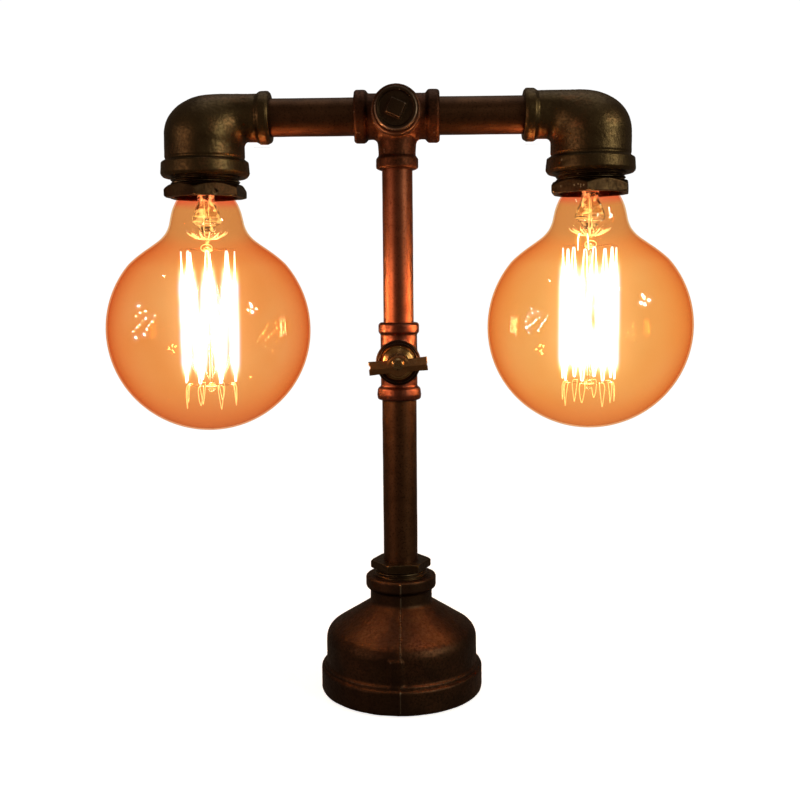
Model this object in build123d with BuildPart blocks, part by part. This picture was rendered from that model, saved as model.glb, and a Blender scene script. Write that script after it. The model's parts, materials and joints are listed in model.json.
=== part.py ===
from build123d import *
import os
from math import sin, cos, radians, sqrt

os.makedirs("parts", exist_ok=True)

# Industrial pipe table lamp, millimetres.
# Frame: +Z up, front is -Y, origin on the stem axis in the plane the foot pad stands on.

# ------------------------------------------------------------------ driving sizes
arm_z = 356.0            # height of the axis of the two arms
head_x = 116.8           # distance of each lamp axis from the stem axis
valve_z = 208.8          # height of the switch spindle

# base: 3 in x 1 in reducing socket, large end down
foot_gap = 1.0           # the pad stands this far below the iron rim
band_r, band_top = 50.9, 15.8
skirt_r = 47.5
shoulder_z = 38.5
neck_r, neck_z = 19.4, 56.6
bead1_r, bead1_z0, bead1_z1 = 22.0, 64.6, 73.5
base_wall = 4.0
thread1_r = 16.5         # 1 in male thread of the base bushing
plate_r = 45.8

# base hex bushing, 1 in x 1/2 in
hex1_af, hex1_z0, hex1_z1, hex1_turn = 33.0, 78.0, 83.0, 6.0

# pipes
lower_r, lower_bore = 10.65, 8.0
upper_r, upper_bore = 9.6, 7.0
arm_r, arm_bore = 11.25, 8.5
run_gap = 0.10           # radial play of the screwed joints that are left free to turn

# valve tee that carries the switch
vt_body_r = 11.3
vt_bot, vt_top = 184.6, 232.2
vt_bead_h = 7.6
vt_bead_low_r, vt_bead_top_r = 13.6, 12.5
vt_port_r, vt_port_bead_r = 11.6, 13.5
vt_port_y = 23.5         # front face of the switch port

# head tee with side outlet
ht_half = 25.5
ht_body_r, ht_bead_r, ht_bead_w = 13.4, 15.5, 7.0
ht_branch_r, ht_branch_bead_r = 10.9, 12.4
ht_bot = 324.3
ht_port_y, ht_port_bead_r = 25.5, 14.6
plug_r = 12.7

# reducing elbows 1 1/4 in x 1/2 in
el_in = 76.0             # x of the small-end face
el_small_bead_r, el_small_bead_w = 15.5, 8.2
el_small_r, el_big_r = 14.0, 24.1
el_fillet = 3.0          # inside corner radius
el_wall = 4.0
el_bead_r, el_bead_h0, el_bead_h1 = 26.8, 26.4, 35.2
thread2_r = 20.9         # 1 1/4 in male thread of the lamp bushing

# lamp hex bushing
hex2_af, hex2_h0, hex2_h1 = 44.6, 39.8, 47.3
hex2_bore = 19.3

# E27 lamp holder and G125 lamp, heights measured down from the arm axis
holder_r, holder_top, holder_rim = 18.6, 9.0, 41.0
cable_r = 2.0
bulb_r = 62.0
bulb_c = 127.4           # centre of the globe below the arm axis
glass_t = 0.9
cap_r = 13.1
cap_top, cap_rim = 20.3, 41.5
fil_r = 17.0
fil_top, fil_bot = 78.5, 159.5

lead_split_z = 333.6     # the lead is parted on the axis of each turning joint
lead_split_x = 83.6

X, Y, Z = (1, 0, 0), (0, 1, 0), (0, 0, 1)
DOWN, FRONT = (0, 0, -1), (0, -1, 0)


def lathe(profile, origin, direction, mode=Mode.ADD):
    """Turned shape: a closed profile of (radius, height along direction, corner radius)."""
    along = Vector(*direction)
    radial = Vector(0, 0, 1) if abs(along.X) > 0.5 else Vector(1, 0, 0)
    with BuildSketch(Plane(origin=origin, x_dir=radial, z_dir=radial.cross(along))) as section:
        with BuildLine():
            Polyline(*[(r, h) for r, h, _ in profile], close=True)
        make_face()
        for r, h, corner in profile:
            if corner:
                fillet(section.vertices().sort_by_distance((r, h))[0], corner)
    revolve(section.sketch, axis=Axis(origin, direction), mode=mode)


def tube(r, h0, h1, origin, direction, mode=Mode.ADD):
    """Plain cylinder of radius r from height h0 to h1 along direction."""
    lathe([(0, h0, 0), (r, h0, 0), (r, h1, 0), (0, h1, 0)], origin, direction, mode)


def thread_grooves(r, h0, pitch, count, origin, direction, depth=0.7):
    """Annular grooves that stand for the turns of an exposed thread."""
    for i in range(count):
        c = h0 + pitch * (i + 0.5)
        lathe([(r + 0.5, c - pitch * 0.45, 0), (r + 0.5, c + pitch * 0.45, 0), (r - depth, c, 0)],
              origin, direction, Mode.SUBTRACT)


def save(builder, name):
    builder.part.label = name
    export_step(builder.part, "parts/" + name + ".step")


O = (0, 0, 0)

# ================================================================== base
outer = [(band_r, foot_gap, 1.4), (band_r, band_top, 1.8), (skirt_r + 1.3, band_top + 0.5, 0),
         (skirt_r + 1.3, band_top + 2.0, 0.5), (skirt_r, band_top + 2.5, 0),
         (skirt_r, shoulder_z, 9.5), (neck_r, neck_z, 2.5), (neck_r, bead1_z0, 0.8),
         (bead1_r, bead1_z0 + 1.6, 1.6), (bead1_r, bead1_z1, 1.0)]
inner_top = neck_z - base_wall * 0.8
with BuildPart() as base_reducer:
    lathe(outer + [(thread1_r, bead1_z1, 0), (thread1_r, inner_top + 1.8, 0),
                   (skirt_r - base_wall, shoulder_z - 2.2, 6.0), (skirt_r - base_wall, 4.5, 0),
                   (plate_r + 0.2, 4.5, 0), (plate_r + 0.2, foot_gap, 0)], O, Z)
    # parting line of the two mould halves, front and rear
    seam = [(band_r, band_top - 6), (band_r + 0.5, band_top - 6), (band_r + 0.5, band_top - 1.2),
            (skirt_r + 1.6, band_top + 1.4), (skirt_r + 0.7, band_top + 3.4), (skirt_r + 0.7, 33.5),
            (skirt_r - 0.3, 37.2), (skirt_r - 2.6, 40.6), (skirt_r - 6.2, 43.4), (neck_r + 1.0, neck_z + 0.4),
            (neck_r + 0.7, neck_z + 2.0), (neck_r + 0.7, bead1_z0), (bead1_r + 0.5, bead1_z0 + 2.2),
            (bead1_r + 0.5, bead1_z1 - 1.2), (bead1_r - 1.5, bead1_z1 - 1.2), (neck_r - 1.2, bead1_z0),
            (neck_r - 1.2, neck_z - 0.6), (skirt_r - 8.0, 42.4 - 1.2), (skirt_r - 2.0, 36.0),
            (skirt_r - 2.0, band_top - 6)]
    with BuildSketch(Plane.YZ) as seam_face:
        with BuildLine():
            Polyline(*[(-a, b) for a, b in seam], close=True)
        make_face()
        mirror(about=Plane.YZ)
    extrude(amount=0.65, both=True)
    # flat cast rib on the lower skirt, front
    with BuildSketch(Plane.XY.offset(band_top + 0.5)):
        with Locations((0, -skirt_r + 0.4)):
            Rectangle(7.4, 3.0)
    extrude(amount=17.0)
    # bosses for the bottom plate screws
    with BuildSketch(Plane.XY.offset(4.5)):
        with PolarLocations(38.6, 3, start_angle=30):
            Circle(5.0)
    extrude(amount=12.0)
    # tapped holes and the cord entry at the rear
    with BuildSketch(Plane.XY.offset(4.5)):
        with PolarLocations(38.6, 3, start_angle=30):
            Circle(2.0)
    extrude(amount=10.5, mode=Mode.SUBTRACT)
    tube(6.0, 30.0, 60.0, (0, 0, 25.5), Y, Mode.SUBTRACT)
    tube(9.2, skirt_r + 0.5, 60.0, (0, 0, 25.5), Y, Mode.SUBTRACT)
save(base_reducer, "base_reducer")

with BuildPart() as base_plate:
    tube(plate_r, 2.5, 4.5, O, Z)
    with BuildSketch(Plane.XY.offset(2.5)):
        with PolarLocations(38.6, 3, start_angle=30):
            Circle(2.2)
        with Locations((-18, 15)):
            Circle(2.0)
        Circle(1.6)
    extrude(amount=2.0, mode=Mode.SUBTRACT)
save(base_plate, "base_plate")

with BuildPart() as base_plate_screws:
    for k in range(3):
        a = radians(30 + 120 * k)
        at = (38.6 * cos(a), 38.6 * sin(a), 0)
        lathe([(0, 0.7, 0), (2.6, 0.7, 0), (3.9, 1.6, 0), (3.9, 2.5, 0), (2.0, 2.5, 0), (2.0, 14.0, 0), (0, 14.0, 0)], at, Z)
        with BuildSketch(Plane(origin=(at[0], at[1], 0.7))):
            Rectangle(4.2, 0.9)
            Rectangle(0.9, 4.2)
        extrude(amount=1.0, mode=Mode.SUBTRACT)
save(base_plate_screws, "base_plate_screws")

with BuildPart() as foot_pad:
    lathe([(0, 0, 0), (44.6, 0, 0.4), (44.6, 2.5, 0), (0, 2.5, 0)], O, Z)
    with BuildSketch(Plane.XY):
        with PolarLocations(38.6, 3, start_angle=30):
            Circle(4.6)
        with Locations((-18, 15)):
            Circle(4.2)
        Circle(3.6)
    extrude(amount=2.5, mode=Mode.SUBTRACT)
save(foot_pad, "foot_pad")

with BuildPart() as cord_grommet:
    # split bush snapped into the wall, its bore is where the supply cord enters
    lathe([(3.6, 39.0, 0.6), (8.2, 39.0, 0.6), (8.2, 41.2, 0), (6.0, 41.2, 0), (6.0, 48.1, 0), (8.6, 48.1, 0),
           (8.6, 49.6, 0.6), (7.2, 50.6, 0.5), (3.6, 50.6, 0.8)], (0, 0, 25.5), Y)
save(cord_grommet, "cord_grommet")

with BuildPart() as terminal_block:
    with BuildSketch(Plane.XY.offset(4.5)):
        RectangleRounded(26, 18, 2)
    extrude(amount=13.5)
    # wire entries front and rear, and the screw wells on top
    for x in (-7.0, 7.0):
        tube(2.0, -10, -4, (x, 0, 10.5), Y, Mode.SUBTRACT)
        tube(2.0, 4, 10, (x, 0, 10.5), Y, Mode.SUBTRACT)
        for y in (-5.0, 5.0):
            tube(1.9, 15.5, 18.5, (x, y, 0), Z, Mode.SUBTRACT)
    tube(1.6, 4.5, 9.5, O, Z, Mode.SUBTRACT)
save(terminal_block, "terminal_block")

with BuildPart() as terminal_screws:
    for x in (-7.0, 7.0):
        for y in (-5.0, 5.0):
            tube(1.9, 15.5, 17.0, (x, y, 0), Z)
            with BuildSketch(Plane.XY.offset(16.4)):
                with Locations((x, y)):
                    Rectangle(2.8, 0.6)
            extrude(amount=1.0, mode=Mode.SUBTRACT)
save(terminal_screws, "terminal_screws")

with BuildPart() as block_screw:
    lathe([(0, 0.9, 0), (2.2, 0.9, 0), (3.1, 1.6, 0), (3.1, 2.5, 0), (1.6, 2.5, 0), (1.6, 9.5, 0), (0, 9.5, 0)], O, Z)
save(block_screw, "block_screw")

with BuildPart() as earth_screw:
    lathe([(0, 0.9, 0), (2.6, 0.9, 0), (3.6, 1.6, 0), (3.6, 2.5, 0), (2.0, 2.5, 0), (2.0, 10.0, 0), (0, 10.0, 0)], (-18, 15, 0), Z)
save(earth_screw, "earth_screw")

with BuildPart() as earth_nut:
    with BuildSketch(Plane(origin=(-18, 15, 4.5))):
        RegularPolygon(4.1, 6)
        Circle(2.0, mode=Mode.SUBTRACT)
    extrude(amount=3.0)
save(earth_nut, "earth_nut")

with BuildPart() as base_bushing:
    lathe([(lower_r, 66.0, 0), (lower_r, hex1_z0 + 0.5, 0), (thread1_r, hex1_z0 + 0.5, 0), (thread1_r, 61.0, 1.0), (9.0, 61.0, 0), (9.0, 66.0, 0)], O, Z)
    thread_grooves(thread1_r, bead1_z1 + 0.3, 2.1, 2, O, Z, 0.8)
    with BuildSketch(Plane(origin=(0, 0, hex1_z0), x_dir=(cos(radians(hex1_turn)), sin(radians(hex1_turn)), 0), z_dir=Z)):
        RegularPolygon(hex1_af / 2, 6, major_radius=False)
        Circle(lower_r, mode=Mode.SUBTRACT)
    extrude(amount=hex1_z1 - hex1_z0)
    # turned chamfers at the top and bottom of the hexagon
    lathe([(17.9, hex1_z1 + 0.01, 0), (21, hex1_z1 + 0.01, 0), (21, hex1_z1 - 1.6, 0)], O, Z, Mode.SUBTRACT)
    lathe([(18.2, hex1_z0 - 0.01, 0), (21, hex1_z0 - 0.01, 0), (21, hex1_z0 + 1.4, 0)], O, Z, Mode.SUBTRACT)
save(base_bushing, "base_bushing")

# ================================================================== stem
with BuildPart() as lower_pipe:
    lathe([(lower_bore, 66.0, 0), (lower_r, 66.0, 0.6), (lower_r, 192.4, 0.6), (lower_bore, 192.4, 0)], O, Z)
save(lower_pipe, "lower_pipe")

with BuildPart() as valve_tee:
    lathe([(0, vt_bot, 0), (vt_bead_low_r - 0.4, vt_bot, 1.2), (vt_bead_low_r, vt_bot + 3.2, 1.6), (vt_bead_low_r - 0.5, vt_bot + vt_bead_h - 0.6, 1.6),
           (vt_body_r, vt_bot + vt_bead_h + 0.8, 1.0), (vt_body_r, vt_top - vt_bead_h + 0.2, 1.0),
           (vt_bead_top_r, vt_top - vt_bead_h + 1.6, 1.6), (vt_bead_top_r, vt_top, 1.8), (0, vt_top, 0)], O, Z)
    lathe([(0, 0, 0), (vt_port_r, 0, 0), (vt_port_r, vt_port_y - 7.2, 0.8), (vt_port_bead_r, vt_port_y - 5.8, 1.4),
           (vt_port_bead_r, vt_port_y, 1.3), (0, vt_port_y, 0)], (0, 0, valve_z), FRONT)
    # bores
    tube(lower_r, vt_bot - 1, 192.4, O, Z, Mode.SUBTRACT)
    tube(upper_r, 224.8, vt_top + 1, O, Z, Mode.SUBTRACT)
    tube(8.6, 190.0, 227.0, O, Z, Mode.SUBTRACT)
    tube(9.3, -8.0, vt_port_y + 1, (0, 0, valve_z), FRONT, Mode.SUBTRACT)
save(valve_tee, "valve_tee")

with BuildPart() as upper_pipe:
    lathe([(upper_bore, 224.8, 0), (upper_r, 224.8, 0.6), (upper_r, 333.4, 0.6), (upper_bore, 333.4, 0)], O, Z)
save(upper_pipe, "upper_pipe")

# rotary switch behind the handle
V = (0, 0, valve_z)
with BuildPart() as switch_body:
    with BuildSketch(Plane(origin=(0, 6.0, valve_z), x_dir=X, z_dir=FRONT)):
        RectangleRounded(11.0, 12.0, 1.2)
    extrude(amount=18.0)
    tube(4.5, 12.0, 27.6, V, FRONT)
    tube(3.2, 4.0, 28.0, V, FRONT, Mode.SUBTRACT)
save(switch_body, "switch_body")

with BuildPart() as switch_contacts:
    # a pair of riveted contact blades on the back of the switch
    for z in (-3.6, 3.6):
        with BuildSketch(Plane(origin=(0, 6.0, valve_z + z), x_dir=X, z_dir=Y)):
            Rectangle(7.0, 1.6)
        extrude(amount=0.6)
        tube(1.1, -6.6, -7.2, (0, 0, valve_z + z), FRONT)
save(switch_contacts, "switch_contacts")

with BuildPart() as valve_bonnet:
    lathe([(4.5, 14.0, 0), (9.3, 14.0, 0.6), (9.3, vt_port_y, 0), (11.9, vt_port_y, 0), (11.9, vt_port_y + 1.3, 0.5),
           (9.9, vt_port_y + 1.7, 0.4), (9.4, vt_port_y + 1.0, 0), (7.4, vt_port_y + 1.0, 0), (7.1, vt_port_y + 2.4, 0.5),
           (4.5, vt_port_y + 2.4, 0)], V, FRONT)
save(valve_bonnet, "valve_bonnet")

with BuildPart() as switch_nut:
    with BuildSketch(Plane(origin=(0, -(vt_port_y + 2.4), valve_z), x_dir=X, z_dir=FRONT)):
        RegularPolygon(5.9, 6, major_radius=False)
        Circle(4.5, mode=Mode.SUBTRACT)
    extrude(amount=1.9)
save(switch_nut, "switch_nut")

with BuildPart() as switch_spindle:
    tube(3.0, 6.0, 32.4, V, FRONT)
    # cam end inside the switch, flat for the handle and the tapped hole at the front
    with BuildSketch(Plane(origin=(0, -32.5, valve_z), x_dir=X, z_dir=Y)):
        with Locations((0, 3.2)):
            Rectangle(8, 2.0)
    extrude(amount=3.4, mode=Mode.SUBTRACT)
    tube(1.3, 26.5, 32.5, V, FRONT, Mode.SUBTRACT)
save(switch_spindle, "switch_spindle")

handle_tilt = 4.5
tilt_plane = Plane(origin=(0, -28.6, valve_z), x_dir=(cos(radians(handle_tilt)), 0, sin(radians(handle_tilt))), z_dir=FRONT)
with BuildPart() as t_handle:
    # bar with a hub, waisted next to the hub and notched at the tips
    with BuildSketch(tilt_plane):
        Circle(7.0)
        with BuildLine():
            Polyline((-17.2, 2.5), (-16.0, 0.6), (-17.3, -1.0), (-16.6, -3.7), (-8.0, -3.5), (0, -4.4), (8.0, -3.5),
                     (17.0, -3.7), (17.3, 3.7), (8.0, 3.5), (0, 4.4), (-8.0, 3.5), (-17.2, 3.9), close=True)
        make_face()
    extrude(amount=5.6)
    fillet(t_handle.edges().filter_by(GeomType.LINE).filter_by(lambda e: abs(e.center().Y + 34.2) < 0.05), 0.9)
    # relief that leaves the hub standing over the nut
    tube(3.0, 28.0, 32.4, V, FRONT, Mode.SUBTRACT)
    tube(1.7, 32.0, 36.0, V, FRONT, Mode.SUBTRACT)
save(t_handle, "t_handle")

with BuildPart() as handle_screw:
    lathe([(0, 27.0, 0), (1.3, 27.0, 0), (1.3, 34.2, 0), (3.6, 34.2, 0), (3.6, 35.4, 0.3), (2.6, 36.4, 0.5), (0, 36.4, 0)], V, FRONT)
    with BuildSketch(Plane(origin=(0, -35.5, valve_z), x_dir=(cos(radians(-35)), 0, sin(radians(-35))), z_dir=FRONT)):
        Rectangle(8.0, 0.9)
    extrude(amount=1.5, mode=Mode.SUBTRACT)
save(handle_screw, "handle_screw")

# ================================================================== head
H = (0, 0, arm_z)
with BuildPart() as head_tee:
    bead0 = ht_half - ht_bead_w
    for side in (1, -1):
        lathe([(0, 0, 0), (ht_body_r, 0, 0), (ht_body_r, bead0 - 1.2, 0.8), (ht_bead_r, bead0 + 0.8, 1.6),
               (ht_bead_r, ht_half, 1.4), (0, ht_half, 0)], H, (side, 0, 0))
    lathe([(0, 0, 0), (ht_branch_r + 1.2, 0, 0), (ht_branch_r, 22.0, 2.0), (ht_branch_r, 23.4, 0.8), (ht_branch_bead_r, 25.6, 1.4),
           (ht_branch_bead_r, arm_z - ht_bot, 1.6), (0, arm_z - ht_bot, 0)], H, DOWN)
    lathe([(0, 0, 0), (ht_body_r - 0.3, 0, 0), (ht_body_r - 0.3, ht_port_y - 7.0, 0.8), (ht_port_bead_r, ht_port_y - 5.6, 1.4),
           (ht_port_bead_r, ht_port_y, 1.4), (0, ht_port_y, 0)], H, FRONT)
    for side in (1, -1):
        tube(arm_r, 17.5, ht_half + 1, H, (side, 0, 0), Mode.SUBTRACT)
    tube(10.2, -18.0, 18.0, H, X, Mode.SUBTRACT)
    tube(upper_r + run_gap, arm_z - 333.8, 40.0, H, DOWN, Mode.SUBTRACT)
    tube(8.2, 0, 24.0, H, DOWN, Mode.SUBTRACT)
    tube(10.3, 0, ht_port_y + 1, H, FRONT, Mode.SUBTRACT)
save(head_tee, "head_tee")

with BuildPart() as tee_plug:
    lathe([(7.6, 15.5, 0), (10.3, 15.5, 0.6), (10.3, ht_port_y, 0), (plug_r, ht_port_y, 0.4), (plug_r, ht_port_y + 3.4, 1.0),
           (10.4, ht_port_y + 3.4, 0.5), (9.9, ht_port_y + 2.3, 0), (0, ht_port_y + 2.3, 0), (0, 20.0, 0), (7.6, 20.0, 0)], H, FRONT)
    with BuildSketch(Plane(origin=(0, -(ht_port_y + 2.0), arm_z), x_dir=(cos(radians(-24)), 0, sin(radians(-24))), z_dir=FRONT)):
        RectangleRounded(9.6, 9.6, 0.8)
    extrude(amount=3.6, taper=6)
save(tee_plug, "tee_plug")

for side, word in ((-1, "left"), (1, "right")):
    with BuildPart() as arm_pipe:
        lathe([(arm_bore, 17.5, 0), (arm_r, 17.5, 0.5), (arm_r, 83.4, 0.5), (arm_bore, 83.4, 0)], H, (side, 0, 0))
    save(arm_pipe, word + "_arm")

with BuildPart() as base_lead:
    tube(cable_r, 18.0, valve_z - 6.0, O, Z)
save(base_lead, "base_lead")

with BuildPart() as stem_lead:
    tube(cable_r, valve_z + 6.0, lead_split_z, O, Z)
save(stem_lead, "stem_lead")

with BuildPart() as head_leads:
    tube(cable_r, lead_split_z, arm_z - 6.0, O, Z)
    for side in (1, -1):
        tube(cable_r, 6.4, lead_split_x, H, (side, 0, 0))
save(head_leads, "head_leads")

with BuildPart() as splice_block:
    # crimp block in the tee where the stem lead divides to the two lamps
    lathe([(0, -4.6, 0), (4.4, -4.6, 1.2), (4.4, 6.0, 1.0), (0, 6.0, 0)], H, DOWN)
    for side in (1, -1):
        tube(3.0, 0, 6.4, H, (side, 0, 0))
save(splice_block, "splice_block")

# ---------------------------------------------------------------- bend of the reducing elbow
# u runs outward from the lamp axis, w upward from the arm axis
pivot = (-el_big_r - el_fillet, -el_small_r - el_fillet)
oval_c, oval_a, oval_b = (-6.0, -10.0), 30.1, 24.0


def bend(side, inset, mode):
    """Loft of round sections swung about the inside corner, from the large leg to the small one."""
    rounds = []
    for phi in (0.0, 15.0, 30.0, 45.0, 60.0, 75.0, 90.0):
        eu, ew = cos(radians(phi)), sin(radians(phi))
        if phi == 0.0:
            reach = 2 * el_big_r + el_fillet
        elif phi == 90.0:
            reach = 2 * el_small_r + el_fillet
        else:
            du, dw = pivot[0] - oval_c[0], pivot[1] - oval_c[1]
            qa = (eu / oval_a) ** 2 + (ew / oval_b) ** 2
            qb = 2 * (eu * du / oval_a ** 2 + ew * dw / oval_b ** 2)
            qc = (du / oval_a) ** 2 + (dw / oval_b) ** 2 - 1
            reach = (-qb + sqrt(qb * qb - 4 * qa * qc)) / (2 * qa)
            if pivot[0] + reach * eu < oval_c[0]:
                reach = (el_small_r - pivot[1]) / ew
        radius = (reach - el_fillet) / 2
        at = el_fillet + radius
        u, w = pivot[0] + at * eu, pivot[1] + at * ew
        with BuildSketch(Plane(origin=(side * (head_x + u), 0, arm_z + w), x_dir=(side * eu, 0, ew), z_dir=(-side * ew, 0, eu))) as section:
            Circle(radius - inset)
        rounds.append(section.sketch.faces()[0])
    loft(rounds, mode=mode)


neck_up = sqrt(bulb_r ** 2 - 48.0 ** 2)
neck_line = [(48.0, neck_up), (43.7, 43.4), (38.6, 47.4), (33.2, 51.2), (28.3, 54.9), (24.9, 58.8), (22.9, 63.1), (21.9, 67.4),
             (20.8, 71.9), (19.0, 76.4), (16.6, 80.4), (14.0, 83.6), (12.5, 85.6)]   # radius, height above the globe centre


def globe(at, inset, top, mode):
    """Globe and neck of the lamp as a solid of revolution, shrunk by inset, cut off at height top."""
    last = len(neck_line) - 1
    pts = []
    for i, (r, up) in enumerate(neck_line):
        a, b = neck_line[max(i - 1, 0)], neck_line[min(i + 1, last)]
        t = Vector(b[0] - a[0], b[1] - a[1]).normalized()
        if i == 0:
            t = Vector(-neck_up, 48.0).normalized()
        if i == last:
            t = Vector(0, 1)
        pts.append((r - inset * t.Y, bulb_c - (up + inset * t.X)))
    with BuildSketch(Plane(origin=at, x_dir=X, z_dir=Y)) as section:
        with BuildLine():
            Line((0, top), (0, bulb_c + bulb_r - inset))
            RadiusArc((0, bulb_c + bulb_r - inset), (bulb_r - inset, bulb_c), bulb_r - inset)
            RadiusArc((bulb_r - inset, bulb_c), pts[0], bulb_r - inset)
            Spline(*pts, tangents=[(-neck_up, -48.0), (0, -1)])
            Polyline(pts[-1], (pts[-1][0], top), (0, top))
        make_face()
    revolve(section.sketch, axis=Axis(at, DOWN), mode=mode)


def ray(at, r, h, angle):
    """Point at radius r and height h below the arm axis, at an angle round the lamp axis."""
    return Vector(at[0] + r * cos(radians(angle)), at[1] + r * sin(radians(angle)), at[2] - h)


def rod(points, r):
    """Round wire along straight runs with rounded corners."""
    for p, q in zip(points, points[1:]):
        with BuildSketch(Plane(origin=p, z_dir=(q - p).normalized())) as section:
            Circle(r)
        extrude(section.sketch, amount=(q - p).length)
    for p in points[1:-1]:
        with Locations(p):
            Sphere(r * 1.03)


for side, word in ((-1, "left"), (1, "right")):
    L = (side * head_x, 0, arm_z)
    big_h = -pivot[1]
    small_x = head_x + pivot[0]
    with BuildPart() as elbow:
        bend(side, 0.0, Mode.ADD)
        lathe([(0, big_h, 0), (el_big_r, big_h, 0), (el_big_r, el_bead_h0 - 3.0, 0), (el_big_r - 0.7, el_bead_h0 - 2.4, 0.3),
               (el_big_r - 0.7, el_bead_h0 - 1.6, 0.3), (el_big_r + 0.5, el_bead_h0 - 0.8, 0), (el_bead_r - 0.4, el_bead_h0 + 0.4, 0.8),
               (el_bead_r, el_bead_h1 - 2.0, 1.6), (el_bead_r - 1.5, el_bead_h1, 0.9), (0, el_bead_h1, 0)], L, DOWN)
        lathe([(0, el_in, 0), (el_small_bead_r - 0.8, el_in, 0.8), (el_small_bead_r, el_in + 2.2, 1.2), (el_small_bead_r, el_in + el_small_bead_w - 2.2, 1.6),
               (el_small_r, el_in + el_small_bead_w, 0.8), (el_small_r, small_x, 0), (0, small_x, 0)], H, (side, 0, 0))
        bend(side, el_wall, Mode.SUBTRACT)
        tube(el_big_r - el_wall, big_h - 0.01, el_bead_h1 - 4, L, DOWN, Mode.SUBTRACT)
        tube(thread2_r, 21.0, el_bead_h1 + 1, L, DOWN, Mode.SUBTRACT)
        tube(el_small_r - el_wall, el_in + 4, small_x + 0.01, H, (side, 0, 0), Mode.SUBTRACT)
        tube(arm_r + run_gap, el_in - 1, 83.8, H, (side, 0, 0), Mode.SUBTRACT)
    save(elbow, word + "_elbow")

    turn = 0.0 if side < 0 else 27.0
    with BuildPart() as lamp_bushing:
        lathe([(hex2_bore, 23.2, 0), (thread2_r, 23.2, 0.8), (thread2_r, hex2_h0 + 0.5, 0), (hex2_bore, hex2_h0 + 0.5, 0)], L, DOWN)
        thread_grooves(thread2_r, el_bead_h1 + 0.2, 2.2, 2, L, DOWN, 0.9)
        with BuildSketch(Plane(origin=(L[0], 0, arm_z - hex2_h1), x_dir=(cos(radians(turn)), sin(radians(turn)), 0), z_dir=Z)):
            RegularPolygon(hex2_af / 2, 6, major_radius=False)
        extrude(amount=hex2_h1 - hex2_h0)
        tube(hex2_bore, 20.0, hex2_h1 + 1, L, DOWN, Mode.SUBTRACT)
        lathe([(21.6, hex2_h0 - 0.01, 0), (27.5, hex2_h0 - 0.01, 0), (27.5, hex2_h0 + 4.6, 0)], L, DOWN, Mode.SUBTRACT)
        lathe([(24.6, hex2_h1 + 0.01, 0), (27.5, hex2_h1 + 0.01, 0), (27.5, hex2_h1 - 1.4, 0)], L, DOWN, Mode.SUBTRACT)
    save(lamp_bushing, word + "_lamp_bushing")

    with BuildPart() as lamp_holder:
        lathe([(0, holder_top, 0), (13.0, holder_top, 1.0), (13.0, 12.6, 0), (holder_r, 14.0, 1.0), (holder_r, 21.2, 0), (20.7, 21.2, 0),
               (20.7, 23.0, 0), (holder_r, 23.0, 0), (holder_r, holder_rim, 0.8), (14.2, holder_rim, 0), (14.2, 13.0, 0), (0, 13.0, 0)], L, DOWN)
        for y in (-7.5, 7.5):
            tube(1.6, 8.0, 12.0, (L[0], y, arm_z), DOWN, Mode.SUBTRACT)
    save(lamp_holder, word + "_lamp_holder")

    with BuildPart() as screw_shell:
        lathe([(13.5, 15.0, 0), (14.2, 15.0, 0), (14.2, 39.6, 0), (13.5, 39.6, 0)], L, DOWN)
        for i in range(6):
            c = 18.0 + 3.63 * i
            lathe([(13.4, c - 1.1, 0), (13.95, c, 0), (13.4, c + 1.1, 0)], L, DOWN, Mode.SUBTRACT)
    save(screw_shell, word + "_screw_shell")

    with BuildPart() as holder_contact:
        # centre spring leaf with its rivet, tongue just over the tip of the lamp cap
        with BuildSketch(Plane(origin=(L[0], 2.0, arm_z - 13.0), x_dir=X, z_dir=DOWN)):
            Rectangle(5.0, 13.0)
        extrude(amount=0.7)
        tube(2.6, 13.4, 14.2, L, DOWN)
        tube(1.4, 13.4, 14.4, (L[0], 6.6, arm_z), DOWN)
    save(holder_contact, word + "_holder_contact")

    with BuildPart() as holder_screws:
        for y in (-7.5, 7.5):
            at = (L[0], y, arm_z)
            lathe([(0, 7.2, 0), (2.8, 7.2, 0.4), (2.8, 9.0, 0), (1.6, 9.0, 0), (1.6, 12.0, 0), (0, 12.0, 0)], at, DOWN)
            with BuildSketch(Plane(origin=(at[0], y, arm_z - 7.2), x_dir=X, z_dir=DOWN)):
                Rectangle(6.0, 0.8)
            extrude(amount=0.7, mode=Mode.SUBTRACT)
    save(holder_screws, word + "_holder_screws")

    # lead inside the elbow: from the turning face on the arm axis, round the bend, to the holder
    with BuildPart() as lamp_lead:
        with BuildLine() as lead_path:
            FilletPolyline((side * lead_split_x, 0, arm_z), (side * head_x, 0, arm_z), (side * head_x, 0, arm_z - holder_top), radius=8.5)
        with BuildSketch(Plane(origin=(side * lead_split_x, 0, arm_z), x_dir=Y, z_dir=(side, 0, 0))):
            Circle(cable_r)
        sweep(path=lead_path.wires()[0])
    save(lamp_lead, word + "_lamp_lead")

    # ------------------------------------------------------------ filament lamp, heights below the arm axis
    with BuildPart() as bulb_glass:
        globe(L, 0.0, 34.0, Mode.ADD)
        globe(L, glass_t, 33.0, Mode.SUBTRACT)
    save(bulb_glass, word + "_bulb_glass")

    with BuildPart() as bulb_cap:
        lathe([(12.5, cap_rim, 0), (cap_r + 0.05, cap_rim, 0), (cap_r, cap_rim - 2.5, 0), (cap_r, cap_top + 1.6, 1.0),
               (9.6, cap_top, 0), (8.8, cap_top + 0.7, 0), (12.5, cap_top + 2.6, 0)], L, DOWN)
        for i in range(4):
            c = 25.4 + 3.63 * i
            lathe([(cap_r + 0.2, c - 1.2, 0), (cap_r + 0.2, c + 1.2, 0), (cap_r - 0.4, c, 0)], L, DOWN, Mode.SUBTRACT)
    save(bulb_cap, word + "_bulb_cap")

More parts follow.
